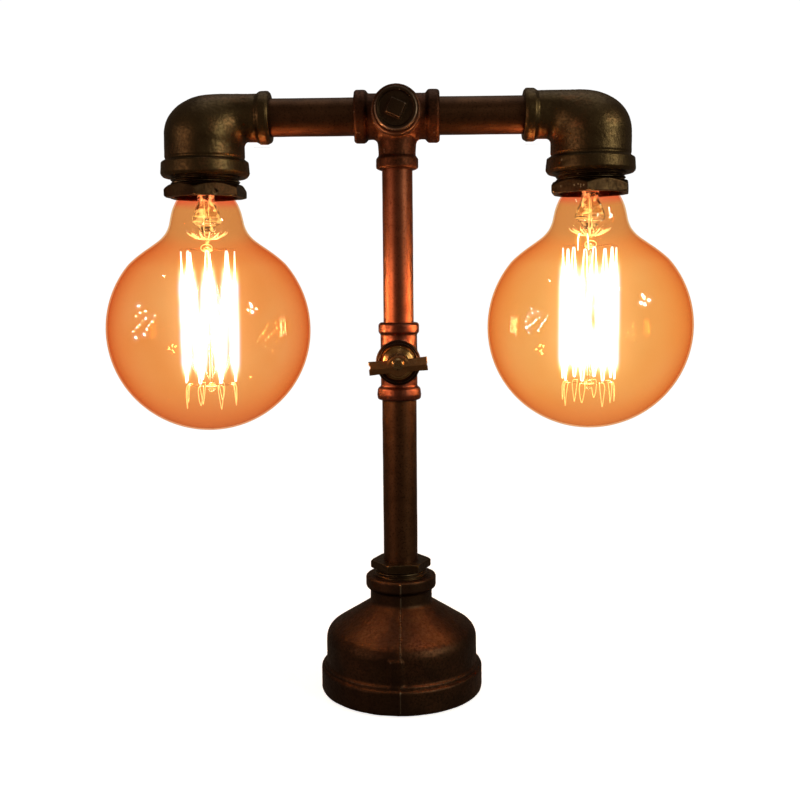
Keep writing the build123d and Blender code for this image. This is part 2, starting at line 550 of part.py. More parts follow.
    with BuildPart() as cap_insulator:
        lathe([(0, 16.0, 0), (5.2, 16.0, 0), (9.6, cap_top, 0), (8.8, cap_top + 0.7, 0), (0, cap_top + 0.7, 0)], L, DOWN)
    save(cap_insulator, word + "_cap_insulator")

    with BuildPart() as cap_contact:
        lathe([(0, 14.6, 0), (3.8, 14.6, 0.5), (4.8, 15.4, 0), (4.8, 16.0, 0), (0, 16.0, 0)], L, DOWN)
    save(cap_contact, word + "_cap_contact")

    with BuildPart() as glass_mount:
        # flare sealed to the neck, pinch, and the rod that carries the filament
        lathe([(11.6, 34.4, 0), (11.6, 35.6, 0), (6.8, 40.5, 1.5), (4.2, 48.0, 2.0), (3.6, 60.0, 0), (2.2, 66.0, 0), (1.2, 68.0, 0),
               (1.2, 70.2, 0), (2.4, 71.0, 0.3), (2.4, 73.0, 0.3), (1.2, 73.8, 0), (1.2, 76.6, 0), (2.8, 77.4, 0.4), (2.8, 79.6, 0.4),
               (1.2, 80.4, 0), (1.2, 160.0, 0), (2.6, 161.0, 0.4), (2.6, 164.6, 0.4), (1.2, 166.0, 0), (0, 166.4, 0), (0, 61.0, 0),
               (2.2, 57.0, 0), (3.0, 48.0, 2.0), (5.6, 40.3, 1.5), (10.5, 34.4, 0)], L, DOWN)
    save(glass_mount, word + "_glass_mount")

    hook_turn = 10.0 if side < 0 else 0.0
    with BuildPart() as support_wires:
        # collars on the rod with the crown, the upper hooks and the lower hairpins
        lathe([(2.4, 71.4, 0), (3.0, 71.4, 0), (3.0, 72.6, 0), (2.4, 72.6, 0)], L, DOWN)
        lathe([(2.8, 78.0, 0), (3.3, 78.0, 0), (3.3, 79.0, 0), (2.8, 79.0, 0)], L, DOWN)
        lathe([(2.6, 162.0, 0), (3.1, 162.0, 0), (3.1, 163.6, 0), (2.6, 163.6, 0)], L, DOWN)
        for k in range(10):
            rod([ray(L, 2.8, 72.0, 36 * k + 12), ray(L, 12.8, 67.5, 36 * k + 12), ray(L, 13.6, 66.0, 36 * k + 12)], 0.35)
        for k in range(8):
            rod([ray(L, 3.1, 78.5, 45 * k + hook_turn), ray(L, fil_r + 0.2, fil_top + 0.1, 45 * k + hook_turn)], 0.30)
            a = 45 * k + 22.5 + hook_turn
            rod([ray(L, 2.9, 162.8, a), ray(L, fil_r - 2.4, fil_bot + 1.6, a), ray(L, fil_r - 0.2, fil_bot + 2.6, a + 5), ray(L, fil_r + 0.2, fil_bot + 13.0, a + 8)], 0.32)
            rod([ray(L, fil_r - 2.4, fil_bot + 1.6, a), ray(L, fil_r - 0.2, fil_bot + 2.6, a - 5), ray(L, fil_r + 0.2, fil_bot + 13.0, a - 8)], 0.32)
    save(support_wires, word + "_support_wires")

    with BuildPart() as filament:
        # zigzag of sixteen strands, hung from the upper hooks and held by the lower ones
        run = []
        for k in range(8):
            a = 45 * k + hook_turn
            run += [ray(L, fil_r, fil_top + 1.2, a - 2.5), ray(L, fil_r, fil_top + 1.2, a + 2.5)]
            if k < 7:
                run += [ray(L, fil_r, fil_bot, a + 20.0), ray(L, fil_r, fil_bot, a + 25.0)]
        run = [ray(L, fil_r, fil_bot, hook_turn - 20.0)] + run + [ray(L, fil_r, fil_bot, hook_turn + 335.0)]
        rod(run, 0.45)
    save(filament, word + "_filament")
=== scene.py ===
import json
import math
import bpy
import numpy as np
from mathutils import Matrix, Vector

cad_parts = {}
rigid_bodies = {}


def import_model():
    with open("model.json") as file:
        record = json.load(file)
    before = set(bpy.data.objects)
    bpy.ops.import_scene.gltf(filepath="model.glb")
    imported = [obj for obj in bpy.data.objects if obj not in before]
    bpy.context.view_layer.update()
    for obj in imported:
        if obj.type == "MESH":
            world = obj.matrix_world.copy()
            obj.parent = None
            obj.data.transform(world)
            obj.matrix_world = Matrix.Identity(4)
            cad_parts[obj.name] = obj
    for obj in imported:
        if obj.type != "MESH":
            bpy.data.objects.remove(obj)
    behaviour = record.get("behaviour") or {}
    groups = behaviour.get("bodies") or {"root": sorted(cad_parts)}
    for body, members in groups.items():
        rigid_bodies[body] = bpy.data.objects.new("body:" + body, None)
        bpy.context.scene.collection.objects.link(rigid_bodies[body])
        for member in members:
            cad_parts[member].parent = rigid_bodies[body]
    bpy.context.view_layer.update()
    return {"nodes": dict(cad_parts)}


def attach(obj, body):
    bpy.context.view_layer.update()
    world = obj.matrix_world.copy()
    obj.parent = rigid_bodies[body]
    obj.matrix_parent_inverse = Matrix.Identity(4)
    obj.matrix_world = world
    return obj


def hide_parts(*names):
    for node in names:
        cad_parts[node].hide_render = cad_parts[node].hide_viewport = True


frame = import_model()
nodes = frame["nodes"]
scene = bpy.context.scene

# ------------------------------------------------------------------ sizes shared with the CAD source, millimetres
arm_z, head_x, valve_z = 356.0, 116.8, 208.8
band_r, band_top, skirt_r, shoulder_z = 50.9, 15.8, 47.5, 38.5
neck_r, neck_z = 19.4, 56.6
bead1_r, bead1_z0, bead1_z1 = 22.0, 64.6, 73.5
thread1_r, hex1_af, hex1_z0, hex1_z1 = 16.5, 33.0, 78.0, 83.0
lower_r, upper_r, arm_r = 10.65, 9.25, 11.25
lower_bore, upper_bore, arm_bore, run_gap = 8.0, 7.0, 8.5, 0.10
el_in, el_small_r, el_big_r, el_fillet, el_wall = 76.0, 14.0, 24.1, 3.0, 4.0
thread2_r, hex2_af, hex2_h0, hex2_h1, hex2_bore = 20.9, 44.6, 39.8, 47.3, 19.3
bulb_r, bulb_c, glass_t = 62.0, 127.4, 0.9
fil_r, fil_top, fil_bot = 16.2, 78.5, 159.5


# ================================================================== implicit solids
def smin(a, b, k):
    t = np.clip(0.5 + 0.5 * (b - a) / k, 0.0, 1.0)
    return b + (a - b) * t - k * t * (1.0 - t)


def smax(a, b, k):
    return -smin(-a, -b, k)


def rounded(points, arcs=5):
    """Closed outline from (r, h, corner radius) points, corners turned into arcs."""
    out, n = [], len(points)
    for i, (x, y, rad) in enumerate(points):
        p = np.array([x, y], float)
        a, b = np.array(points[i - 1][:2], float), np.array(points[(i + 1) % n][:2], float)
        la, lb = np.linalg.norm(a - p), np.linalg.norm(b - p)
        if rad <= 0 or la < 1e-9 or lb < 1e-9:
            out.append(p)
            continue
        u, v = (a - p) / la, (b - p) / lb
        half = math.acos(max(-1.0, min(1.0, float(u @ v)))) / 2
        if half > math.pi / 2 - 1e-3:
            out.append(p)
            continue
        t = min(rad / math.tan(half), 0.49 * la, 0.49 * lb)
        rad = t * math.tan(half)
        mid = (u + v) / np.linalg.norm(u + v)
        c = p + mid * rad / math.sin(half)
        s, e = p + u * t - c, p + v * t - c
        a0 = math.atan2(s[1], s[0])
        turn = (math.atan2(e[1], e[0]) - a0 + math.pi) % (2 * math.pi) - math.pi
        for k in range(arcs + 1):
            ang = a0 + turn * k / arcs
            out.append(c + rad * np.array([math.cos(ang), math.sin(ang)]))
    return np.array(out)


class Profile:
    """Signed distance to a closed (radius, height) outline, kept as a table."""

    def __init__(self, points, step=0.2, margin=4.0):
        poly = rounded(points)
        nxt = np.roll(poly, -1, axis=0)
        self.step = step
        self.h0 = poly[:, 1].min() - margin
        rs = np.arange(0.0, poly[:, 0].max() + margin, step)
        hs = np.arange(self.h0, poly[:, 1].max() + margin, step)
        r, h = np.meshgrid(rs, hs, indexing="ij")
        best = np.full(r.shape, 1e9)
        odd = np.zeros(r.shape, bool)
        for (x0, y0), (x1, y1) in zip(poly, nxt):
            dx, dy = x1 - x0, y1 - y0
            size = dx * dx + dy * dy
            if size < 1e-12:
                continue
            if abs(dy) > 1e-12:
                odd ^= ((y0 > h) != (y1 > h)) & (r < dx * (h - y0) / dy + x0)
            if x0 < 1e-6 and x1 < 1e-6:
                continue
            t = np.clip(((r - x0) * dx + (h - y0) * dy) / size, 0, 1)
            best = np.minimum(best, (r - x0 - t * dx) ** 2 + (h - y0 - t * dy) ** 2)
        self.table = (np.sqrt(best) * np.where(odd, -1.0, 1.0)).astype(np.float32)

    def __call__(self, r, h):
        nx, ny = self.table.shape
        x, y = r / self.step, (h - self.h0) / self.step
        xc, yc = np.clip(x, 0, nx - 1.001), np.clip(y, 0, ny - 1.001)
        i, j = xc.astype(np.int32), yc.astype(np.int32)
        fx, fy = xc - i, yc - j
        t = self.table
        d = (t[i, j] * (1 - fx) + t[i + 1, j] * fx) * (1 - fy) + (t[i, j + 1] * (1 - fx) + t[i + 1, j + 1] * fx) * fy
        return d + np.hypot(x - xc, y - yc) * self.step


def along_z(prof, p, z0=0.0, x0=0.0, down=False):
    h = p[:, 2] - z0
    return prof(np.hypot(p[:, 0] - x0, p[:, 1]), -h if down else h)


def along_x(prof, p, z0, side):
    return prof(np.hypot(p[:, 1], p[:, 2] - z0), p[:, 0] * side)


def along_front(prof, p, z0):
    return prof(np.hypot(p[:, 0], p[:, 2] - z0), -p[:, 1])


def rod_z(p, r, z_lo, z_hi, x0=0.0, y0=0.0):
    return np.maximum(np.hypot(p[:, 0] - x0, p[:, 1] - y0) - r, np.maximum(z_lo - p[:, 2], p[:, 2] - z_hi))


def rod_x(p, r, a, b, z0):
    return np.maximum(np.hypot(p[:, 1], p[:, 2] - z0) - r, np.maximum(a - p[:, 0], p[:, 0] - b))


def rod_y(p, r, a, b, z0):
    return np.maximum(np.hypot(p[:, 0], p[:, 2] - z0) - r, np.maximum(a - p[:, 1], p[:, 1] - b))


def hexagon(x, y, half_flat, turn):
    """Distance to a hexagon of that half width across flats, its corners at turn degrees and every 60."""
    d = np.full(x.shape, -1e9)
    for k in range(3):
        a = math.radians(turn + 30 + 60 * k)
        d = np.maximum(d, np.abs(x * math.cos(a) + y * math.sin(a)) - half_flat)
    return d


def block(p, centre, half, r):
    q = np.abs(p - np.array(centre)) - (np.array(half) - r)
    return np.linalg.norm(np.maximum(q, 0), axis=1) + np.minimum(q.max(axis=1), 0) - r


def thread(r, h, angle, radius, pitch, depth, h0, h1):
    """A turned thread between two heights: V grooves with flattened crests that climb with the angle."""
    f = (h / pitch - angle / (2 * math.pi)) % 1.0
    tri = np.clip(np.abs(f - 0.5) * 2.6 - 0.15, 0, 1)
    fade = np.clip((h - h0) / 0.8, 0, 1) * np.clip((h1 - h) / 0.8, 0, 1)
    return r - radius + depth * tri * fade


def lattice(i, j, k, seed):
    n = (i * 73856093) ^ (j * 19349663) ^ (k * 83492791) ^ (seed * 40503 + 977)
    n = (n ^ (n >> 13)) * 1274126177
    n = n ^ (n >> 16)
    return (n & 0xFFFF) / 32767.5 - 1.0


def noise3(p, size, seed):
    q = p / size + 1000.0
    i = np.floor(q).astype(np.int64)
    f = q - i
    f = f * f * (3 - 2 * f)
    total = 0.0
    for a in (0, 1):
        for b in (0, 1):
            for c in (0, 1):
                w = (f[:, 0] if a else 1 - f[:, 0]) * (f[:, 1] if b else 1 - f[:, 1]) * (f[:, 2] if c else 1 - f[:, 2])
                total = total + w * lattice(i[:, 0] + a, i[:, 1] + b, i[:, 2] + c, seed)
    return total


def in_parts(fn, p, size=300000):
    return np.concatenate([fn(p[i:i + size]) for i in range(0, len(p), size)]) if len(p) else np.zeros(0)


def slope(fn, p, e=0.04):
    g = np.empty_like(p)
    for a in range(3):
        s = np.zeros(3)
        s[a] = e
        g[:, a] = in_parts(fn, p + s) - in_parts(fn, p - s)
    return g / (2 * e)


def polygonise(fn, lo, hi, step, relax=3):
    """Quad mesh of the surface where fn is zero, fn below zero inside. Only blocks near the surface are sampled."""
    lo, hi = np.array(lo, float) - 2 * step, np.array(hi, float) + 2 * step
    B = 8
    nb = np.maximum(1, np.ceil((hi - lo) / step / B).astype(int))
    n = nb * B
    bi = np.stack(np.meshgrid(*[np.arange(k) for k in nb], indexing="ij"), -1).reshape(-1, 3)
    centres = lo + step * (bi * B + (B - 1) / 2.0)
    near = in_parts(fn, centres)
    keep = np.abs(near) < 1.35 * (math.sqrt(3) / 2 * B * step) + 2 * step
    F = np.repeat(np.repeat(np.repeat(np.where(near < 0, -9.0, 9.0).reshape(nb).astype(np.float32), B, 0), B, 1), B, 2)
    F6 = F.reshape(nb[0], B, nb[1], B, nb[2], B)
    local = np.stack(np.meshgrid(*[np.arange(B)] * 3, indexing="ij"), -1).reshape(-1, 3)
    for s in range(0, int(keep.sum()), 512):
        b = bi[keep][s:s + 512]
        pts = (lo + step * (b[:, None, :] * B + local[None])).reshape(-1, 3)
        F6[b[:, 0], :, b[:, 1], :, b[:, 2], :] = fn(pts).reshape(len(b), B, B, B)
    F = F6.reshape(n)
    S = F < 0
    count = np.zeros(np.array(S.shape) - 1, np.int8)
    for a in (0, 1):
        for b in (0, 1):
            for c in (0, 1):
                count += S[a:S.shape[0] - 1 + a, b:S.shape[1] - 1 + b, c:S.shape[2] - 1 + c]
    active = (count > 0) & (count < 8)
    cells = np.argwhere(active)
    index = np.full(active.shape, -1, np.int64)
    index[active] = np.arange(len(cells))
    total, hits = np.zeros((len(cells), 3)), np.zeros(len(cells))
    corners = [(a, b, c) for a in (0, 1) for b in (0, 1) for c in (0, 1)]
    for ca in corners:
        for axis in range(3):
            if ca[axis]:
                continue
            cb = list(ca)
            cb[axis] = 1
            fa = F[cells[:, 0] + ca[0], cells[:, 1] + ca[1], cells[:, 2] + ca[2]]
            fb = F[cells[:, 0] + cb[0], cells[:, 1] + cb[1], cells[:, 2] + cb[2]]
            cut = (fa < 0) != (fb < 0)
            t = np.where(cut, fa / np.where(cut, fa - fb, 1.0), 0.0)
            q = np.array(ca, float)[None].repeat(len(cells), 0)
            q[:, axis] += t
            total += q * cut[:, None]
            hits += cut
    verts = lo + step * (cells + total / hits[:, None])
    quads = []
    for axis in range(3):
        o1, o2 = (axis + 1) % 3, (axis + 2) % 3
        sl_a, sl_b = [slice(1, -1)] * 3, [slice(1, -1)] * 3
        sl_a[axis], sl_b[axis] = slice(0, -1), slice(1, None)
        A, Bs = S[tuple(sl_a)], S[tuple(sl_b)]
        for flip in (False, True):
            e = np.argwhere((A & ~Bs) if not flip else (~A & Bs))
            if not len(e):
                continue
            base = e.copy()
            base[:, o1] += 1
            base[:, o2] += 1
            ring = []
            for d1, d2 in ((-1, -1), (0, -1), (0, 0), (-1, 0)):
                c = base.copy()
                c[:, o1] += d1
                c[:, o2] += d2
                ring.append(index[c[:, 0], c[:, 1], c[:, 2]])
            q = np.stack(ring, 1)
            quads.append(q[:, ::-1] if flip else q)
    quads = np.concatenate(quads)
    quads = quads[(quads >= 0).all(axis=1)]
    for _ in range(relax):
        d = in_parts(fn, verts)
        g = slope(fn, verts)
        size = np.maximum((g * g).sum(1), 0.2)
        verts = verts - np.clip(d / size, -0.6 * step, 0.6 * step)[:, None] * g
    return verts, quads


def mesh_object(name, verts_mm, faces, smooth=True, sharp=None):
    me = bpy.data.meshes.new(name)
    faces = np.asarray(faces)
    n, k = faces.shape
    me.vertices.add(len(verts_mm))
    me.vertices.foreach_set("co", (np.asarray(verts_mm) * 0.001).astype(np.float32).ravel())
    me.loops.add(n * k)
    me.loops.foreach_set("vertex_index", faces.astype(np.int32).ravel())
    me.polygons.add(n)
    me.polygons.foreach_set("loop_start", (np.arange(n) * k).astype(np.int32))
    me.polygons.foreach_set("loop_total", np.full(n, k, np.int32))
    me.update(calc_edges=True)
    me.validate()
    me.shade_smooth() if smooth else me.shade_flat()
    if sharp is not None:
        me.set_sharp_from_angle(angle=math.radians(sharp))
    ob = bpy.data.objects.new(name, me)
    scene.collection.objects.link(ob)
    return ob


def casting(name, fn, lo, hi, step, grain=0.06, coarse=0.10, seed=1, sharp=38):
    """A cast piece: the implicit surface with the small unevenness that sand leaves on it."""
    v, q = polygonise(fn, lo, hi, step)
    if grain or coarse:
        g = slope(fn, v)
        g /= np.maximum(np.linalg.norm(g, axis=1), 1e-6)[:, None]
        bump = grain * noise3(v, 1.5, seed) + 0.6 * grain * noise3(v, 0.8, seed + 5) + coarse * noise3(v, 7.0, seed + 9)
        v = v + g * bump[:, None]
    return mesh_object(name, v, q, sharp=sharp)


def spun(name, pts, origin=(0, 0, 0), axis="z", segs=128, wobble=0.0, seed=3, close=True, sharp=32):
    """Turned piece: an outline of (radius, height) points in mm swept round an axis, closed if close."""
    pts = np.array(pts, float)
    n = len(pts)
    a = np.arange(segs) * 2 * math.pi / segs
    ring = np.stack([np.cos(a), np.sin(a)], 1)
    local = np.empty((n, segs, 3))
    local[:, :, 0] = pts[:, 0:1] * ring[None, :, 0]
    local[:, :, 1] = pts[:, 0:1] * ring[None, :, 1]
    local[:, :, 2] = pts[:, 1:2]
    v = local.reshape(-1, 3)
    if wobble:
        out = np.concatenate([v[:, :2] / np.maximum(np.hypot(v[:, 0], v[:, 1]), 1e-6)[:, None], np.zeros((len(v), 1))], 1)
        v = v + out * (wobble * noise3(v, 9.0, seed))[:, None]
    turn = {"z": np.array([[1, 0, 0], [0, 1, 0], [0, 0, 1]]), "down": np.array([[1, 0, 0], [0, -1, 0], [0, 0, -1]]),
            "x": np.array([[0, 0, 1], [1, 0, 0], [0, 1, 0]]), "-x": np.array([[0, 0, -1], [-1, 0, 0], [0, 1, 0]]),
            "front": np.array([[1, 0, 0], [0, 0, -1], [0, 1, 0]])}[axis]
    v = v @ turn.T + np.array(origin)
    rows = n if close else n - 1
    i, j = np.meshgrid(np.arange(rows), np.arange(segs), indexing="ij")
    i, j = i.ravel(), j.ravel()
    i2, j2 = (i + 1) % n, (j + 1) % segs
    q = np.stack([i * segs + j, i * segs + j2, i2 * segs + j2, i2 * segs + j], 1)
    return mesh_object(name, v, q, sharp=sharp)


def dense(pts, longest=3.0):
    """More points along an outline, so that no run is longer than longest."""
    out = []
    pts = [np.array(p[:2], float) for p in pts]
    for a, b in zip(pts, pts[1:] + pts[:1]):
        k = max(1, int(math.ceil(np.linalg.norm(b - a) / longest)))
        out += [a + (b - a) * t / k for t in range(k)]
    return np.array(out)


def bowed(points, radius, steps=4):
    """Path in mm with each inner corner turned into a small arc of about that radius."""
    pts = [np.array(p, float) for p in points]
    out = [pts[0]]
    for a, p, b in zip(pts, pts[1:], pts[2:]):
        u, v = (a - p), (b - p)
        lu, lv = np.linalg.norm(u), np.linalg.norm(v)
        t = min(radius, 0.45 * lu, 0.45 * lv)
        s, e = p + u / lu * t, p + v / lv * t
        for k in range(steps + 1):
            f = k / steps
            out.append((1 - f) ** 2 * s + 2 * f * (1 - f) * p + f * f * e)
    out.append(pts[-1])
    return np.array(out)


def resample(path, step):
    seg = np.linalg.norm(np.diff(path, axis=0), axis=1)
    t = np.concatenate([[0], np.cumsum(seg)])
    keep = np.concatenate([[True], seg > 1e-6])
    t, path = t[keep], path[keep]
    n = max(2, int(round(t[-1] / step)))
    at = np.linspace(0, t[-1], n + 1)
    return np.stack([np.interp(at, t, path[:, k]) for k in range(3)], 1), at


def tubes(name, paths, radius, sides=8, ripple=0.0, pitch=0.6, sharp=None):
    """Round wires along paths in mm, each a closed tube; ripple gives the look of a tight coil."""
    vs, qs, base = [], [], 0
    for path in paths:
        path, along = path if isinstance(path, tuple) else (np.asarray(path, float), None)
        n = len(path)
        tan = np.gradient(path, axis=0)
        tan /= np.maximum(np.linalg.norm(tan, axis=1), 1e-9)[:, None]
        ref = np.array([0.0, 0.0, 1.0]) if abs(tan[0][2]) < 0.8 else np.array([1.0, 0.0, 0.0])
        nrm = np.empty_like(path)
        cur = np.cross(tan[0], ref)
        for k in range(n):
            cur = cur - tan[k] * float(cur @ tan[k])
            cur /= np.linalg.norm(cur)
            nrm[k] = cur
        bi = np.cross(tan, nrm)
        rad = np.full(n, radius)
        if ripple and along is not None:
            rad = radius * (1 + ripple * np.cos(2 * math.pi * along / pitch))
        rad = rad.copy()
        rad[0] *= 0.35
        rad[-1] *= 0.35
        a = np.arange(sides) * 2 * math.pi / sides
        v = path[:, None, :] + rad[:, None, None] * (np.cos(a)[None, :, None] * nrm[:, None, :] + np.sin(a)[None, :, None] * bi[:, None, :])
        vs.append(v.reshape(-1, 3))
        i, j = np.meshgrid(np.arange(n - 1), np.arange(sides), indexing="ij")
        i, j = i.ravel(), j.ravel()
        j2 = (j + 1) % sides
        qs.append(base + np.stack([i * sides + j, i * sides + j2, (i + 1) * sides + j2, (i + 1) * sides + j], 1))
        # end caps as quads fanned over the ring, pairs of corners at a time
        for row, flip in ((0, True), (n - 1, False)):
            ring = base + row * sides + np.arange(sides)
            for k in range(1, sides // 2):
                q = [ring[k - 1], ring[k], ring[sides - 1 - k], ring[(sides - k) % sides]]
                qs.append(np.array([q[::-1] if flip else q]))
        base += n * sides
    return mesh_object(name, np.concatenate(vs), np.concatenate(qs), sharp=sharp)


# ================================================================== materials
def new_material(name):
    m = bpy.data.materials.new(name)
    m.use_nodes = True
    nt = m.node_tree
    return m, nt, nt.nodes["Principled BSDF"], nt.nodes["Material Output"]


def put(nt, kind, links=None, **values):
    n = nt.nodes.new(kind)
    for k, v in values.items():
        if k in ("operation", "data_type", "blend_type", "noise_dimensions", "feature", "distance", "bands_direction", "wave_type", "gradient_type", "interpolation_type"):
            setattr(n, k, v)
        else:
            n.inputs[k.replace("_", " ")].default_value = v
    for k, v in (links or {}).items():
        nt.links.new(v, n.inputs[k])
    return n


def coords(nt):
    return nt.nodes.new("ShaderNodeTexCoord").outputs["Object"]


def noise(nt, vec, scale, detail=3.0, rough=0.55):
    n = put(nt, "ShaderNodeTexNoise", {"Vector": vec}, Scale=scale, Detail=detail, Roughness=rough)
    return n.outputs["Fac"]


def ramp(nt, fac, stops):
    n = nt.nodes.new("ShaderNodeValToRGB")
    cr = n.color_ramp
    while len(cr.elements) < len(stops):
        cr.elements.new(0.5)
    for e, (pos, col) in zip(cr.elements, stops):
        e.position = pos
        e.color = (*col, 1) if len(col) == 3 else (col[0], col[0], col[0], 1)
    nt.links.new(fac, n.inputs["Fac"])
    return n.outputs["Color"]


def mixc(nt, fac, a, b, kind="MIX"):
    n = nt.nodes.new("ShaderNodeMix")
    n.data_type, n.blend_type = "RGBA", kind
    for sock, v in ((n.inputs[0], fac), (n.inputs[6], a), (n.inputs[7], b)):
        if isinstance(v, bpy.types.NodeSocket):
            nt.links.new(v, sock)
        elif isinstance(v, (int, float)):
            sock.default_value = v
        else:
            sock.default_value = (*v, 1)
    return n.outputs[2]


def maths(nt, op, a, b=None):
    n = nt.nodes.new("ShaderNodeMath")
    n.operation = op
    for sock, v in zip(n.inputs, (a, b)):
        if isinstance(v, bpy.types.NodeSocket):
            nt.links.new(v, sock)
        elif v is not None:
            sock.default_value = v
    return n.outputs[0]


def bump(nt, height, strength, depth, after=None):
    n = put(nt, "ShaderNodeBump", {"Height": height}, Strength=strength, Distance=depth)
    if after is not None:
        nt.links.new(after, n.inputs["Normal"])
    return n.outputs["Normal"]


def iron_material(name, dark, mid, copper, rough=0.42, copper_at=(0.52, 0.72), grain=1.0, worn_and_highlight=(0.36, 0.25, 0.16), wear_and_highlight=0.8, rim_highlight=None, black=None):
    """Cast fitting in a dark bronze patina: brown-black ground, olive bronze cloud, coppery rub, sandy grain, edges
    worn bright, their pale tone also a painted highlight along every convex edge.
    """
    m, nt, bsdf, _ = new_material(name)
    vec = coords(nt)
    cloud = noise(nt, vec, 55.0, 4.0, 0.6)
    fleck = noise(nt, vec, 620.0, 3.0, 0.65)
    sand = noise(nt, vec, 1300.0, 2.0, 0.6)
    base = ramp(nt, cloud, [(0.34, dark), (0.66, mid)])
    rub = ramp(nt, noise(nt, vec, 26.0, 5.0, 0.62), [(copper_at[0], (0.0,)), (copper_at[1], (1.0,))])
    rub = maths(nt, "MULTIPLY", rub, ramp(nt, fleck, [(0.40, (0.25,)), (0.62, (1.0,))]))
    col = mixc(nt, rub, base, copper)
    col = mixc(nt, ramp(nt, fleck, [(0.28, (0.55,)), (0.55, (0.0,))]), col, tuple(c * 0.5 for c in dark))
    # convex edges lighter and smoother: partly wear, partly painted highlight lines along the edges
    edge = ramp(nt, nt.nodes.new("ShaderNodeNewGeometry").outputs["Pointiness"], [(0.530, (0.0,)), (0.60, (wear_and_highlight,))])
    edge = maths(nt, "MULTIPLY", edge, ramp(nt, cloud, [(0.35, (0.35,)), (0.60, (1.0,))]))
    if rim_highlight:
        # painted highlight: a pale ring round the lip of a front outlet, brighter on its lower side; centre height,
        # radius and width in mm, and its strength on the lower side
        spot = put(nt, "ShaderNodeVectorMath", {0: vec}, operation="SUBTRACT")
        spot.inputs[1].default_value = (0, 0, rim_highlight[0] / 1000)
        part = nt.nodes.new("ShaderNodeSeparateXYZ")
        nt.links.new(spot.outputs[0], part.inputs[0])
        flat = nt.nodes.new("ShaderNodeCombineXYZ")
        nt.links.new(part.outputs["X"], flat.inputs["X"])
        nt.links.new(part.outputs["Z"], flat.inputs["Z"])
        rad = put(nt, "ShaderNodeVectorMath", {0: flat.outputs[0]}, operation="LENGTH").outputs["Value"]
        off = put(nt, "ShaderNodeMapRange", {"Value": maths(nt, "ABSOLUTE", maths(nt, "SUBTRACT", rad, rim_highlight[1] / 1000))}, interpolation_type="SMOOTHSTEP")
        off.inputs["From Min"].default_value, off.inputs["From Max"].default_value = rim_highlight[2] / 1000, 0.0
        highlight_below = put(nt, "ShaderNodeMapRange", {"Value": part.outputs["Z"]})
        highlight_below.inputs["From Min"].default_value, highlight_below.inputs["From Max"].default_value = 0.009, -0.004
        highlight_below.inputs["To Min"].default_value, highlight_below.inputs["To Max"].default_value = 0.12, rim_highlight[3]
        front = put(nt, "ShaderNodeMapRange", {"Value": part.outputs["Y"]})
        front.inputs["From Min"].default_value, front.inputs["From Max"].default_value = -0.0225, -0.0240
        ring = maths(nt, "MULTIPLY", maths(nt, "MULTIPLY", off.outputs[0], front.outputs[0]), maths(nt, "MULTIPLY", highlight_below.outputs[0], ramp(nt, cloud, [(0.35, (0.45,)), (0.55, (1.0,))])))
        edge = maths(nt, "MAXIMUM", edge, ring)
    if black:
        # blackened front of an outlet: y in mm where it starts, and its tone
        deep = put(nt, "ShaderNodeSeparateXYZ", {"Vector": vec})
        dark_in = put(nt, "ShaderNodeMapRange", {"Value": deep.outputs["Y"]})
        dark_in.inputs["From Min"].default_value, dark_in.inputs["From Max"].default_value = (black[0] + 1.2) / 1000, black[0] / 1000
        col = mixc(nt, dark_in.outputs[0], col, black[1])
        edge = maths(nt, "MULTIPLY", edge, maths(nt, "SUBTRACT", 1.0, maths(nt, "MULTIPLY", dark_in.outputs[0], 0.8)))
    col = mixc(nt, edge, col, worn_and_highlight)
    nt.links.new(col, bsdf.inputs["Base Color"])
    bsdf.inputs["Metallic"].default_value = 1.0
    r = ramp(nt, fleck, [(0.30, (rough + 0.16,)), (0.70, (rough - 0.07,))])
    r = mixc(nt, edge, r, (0.26, 0.26, 0.26))
    nt.links.new(r, bsdf.inputs["Roughness"])
    n1 = bump(nt, sand, 0.35 * grain, 0.00012)
    n2 = bump(nt, fleck, 0.45 * grain, 0.00025, n1)
    nt.links.new(n2, bsdf.inputs["Normal"])
    return m


def pipe_material(name, dark, mid, rough=0.30, axis="z"):
    """Drawn pipe in the same patina: smoother, with faint long draw marks and small specks."""
    m, nt, bsdf, _ = new_material(name)
    vec = coords(nt)
    mapping = nt.nodes.new("ShaderNodeMapping")
    nt.links.new(vec, mapping.inputs["Vector"])
    mapping.inputs["Scale"].default_value = (1, 1, 0.06) if axis == "z" else (0.06, 1, 1)
    drawn = noise(nt, mapping.outputs["Vector"], 700.0, 3.0, 0.6)
    cloud = noise(nt, vec, 60.0, 4.0, 0.6)
    speck = noise(nt, vec, 900.0, 2.0, 0.5)
    col = ramp(nt, cloud, [(0.35, dark), (0.68, mid)])
    col = mixc(nt, ramp(nt, speck, [(0.30, (0.6,)), (0.48, (0.0,))]), col, tuple(c * 0.4 for c in dark))
    nt.links.new(col, bsdf.inputs["Base Color"])
    bsdf.inputs["Metallic"].default_value = 1.0
    r = ramp(nt, cloud, [(0.3, (rough + 0.05,)), (0.7, (rough - 0.02,))])
    nt.links.new(r, bsdf.inputs["Roughness"])
    n1 = bump(nt, drawn, 0.18, 0.00006)
    n2 = bump(nt, speck, 0.22, 0.00008, n1)
    nt.links.new(n2, bsdf.inputs["Normal"])
    return m


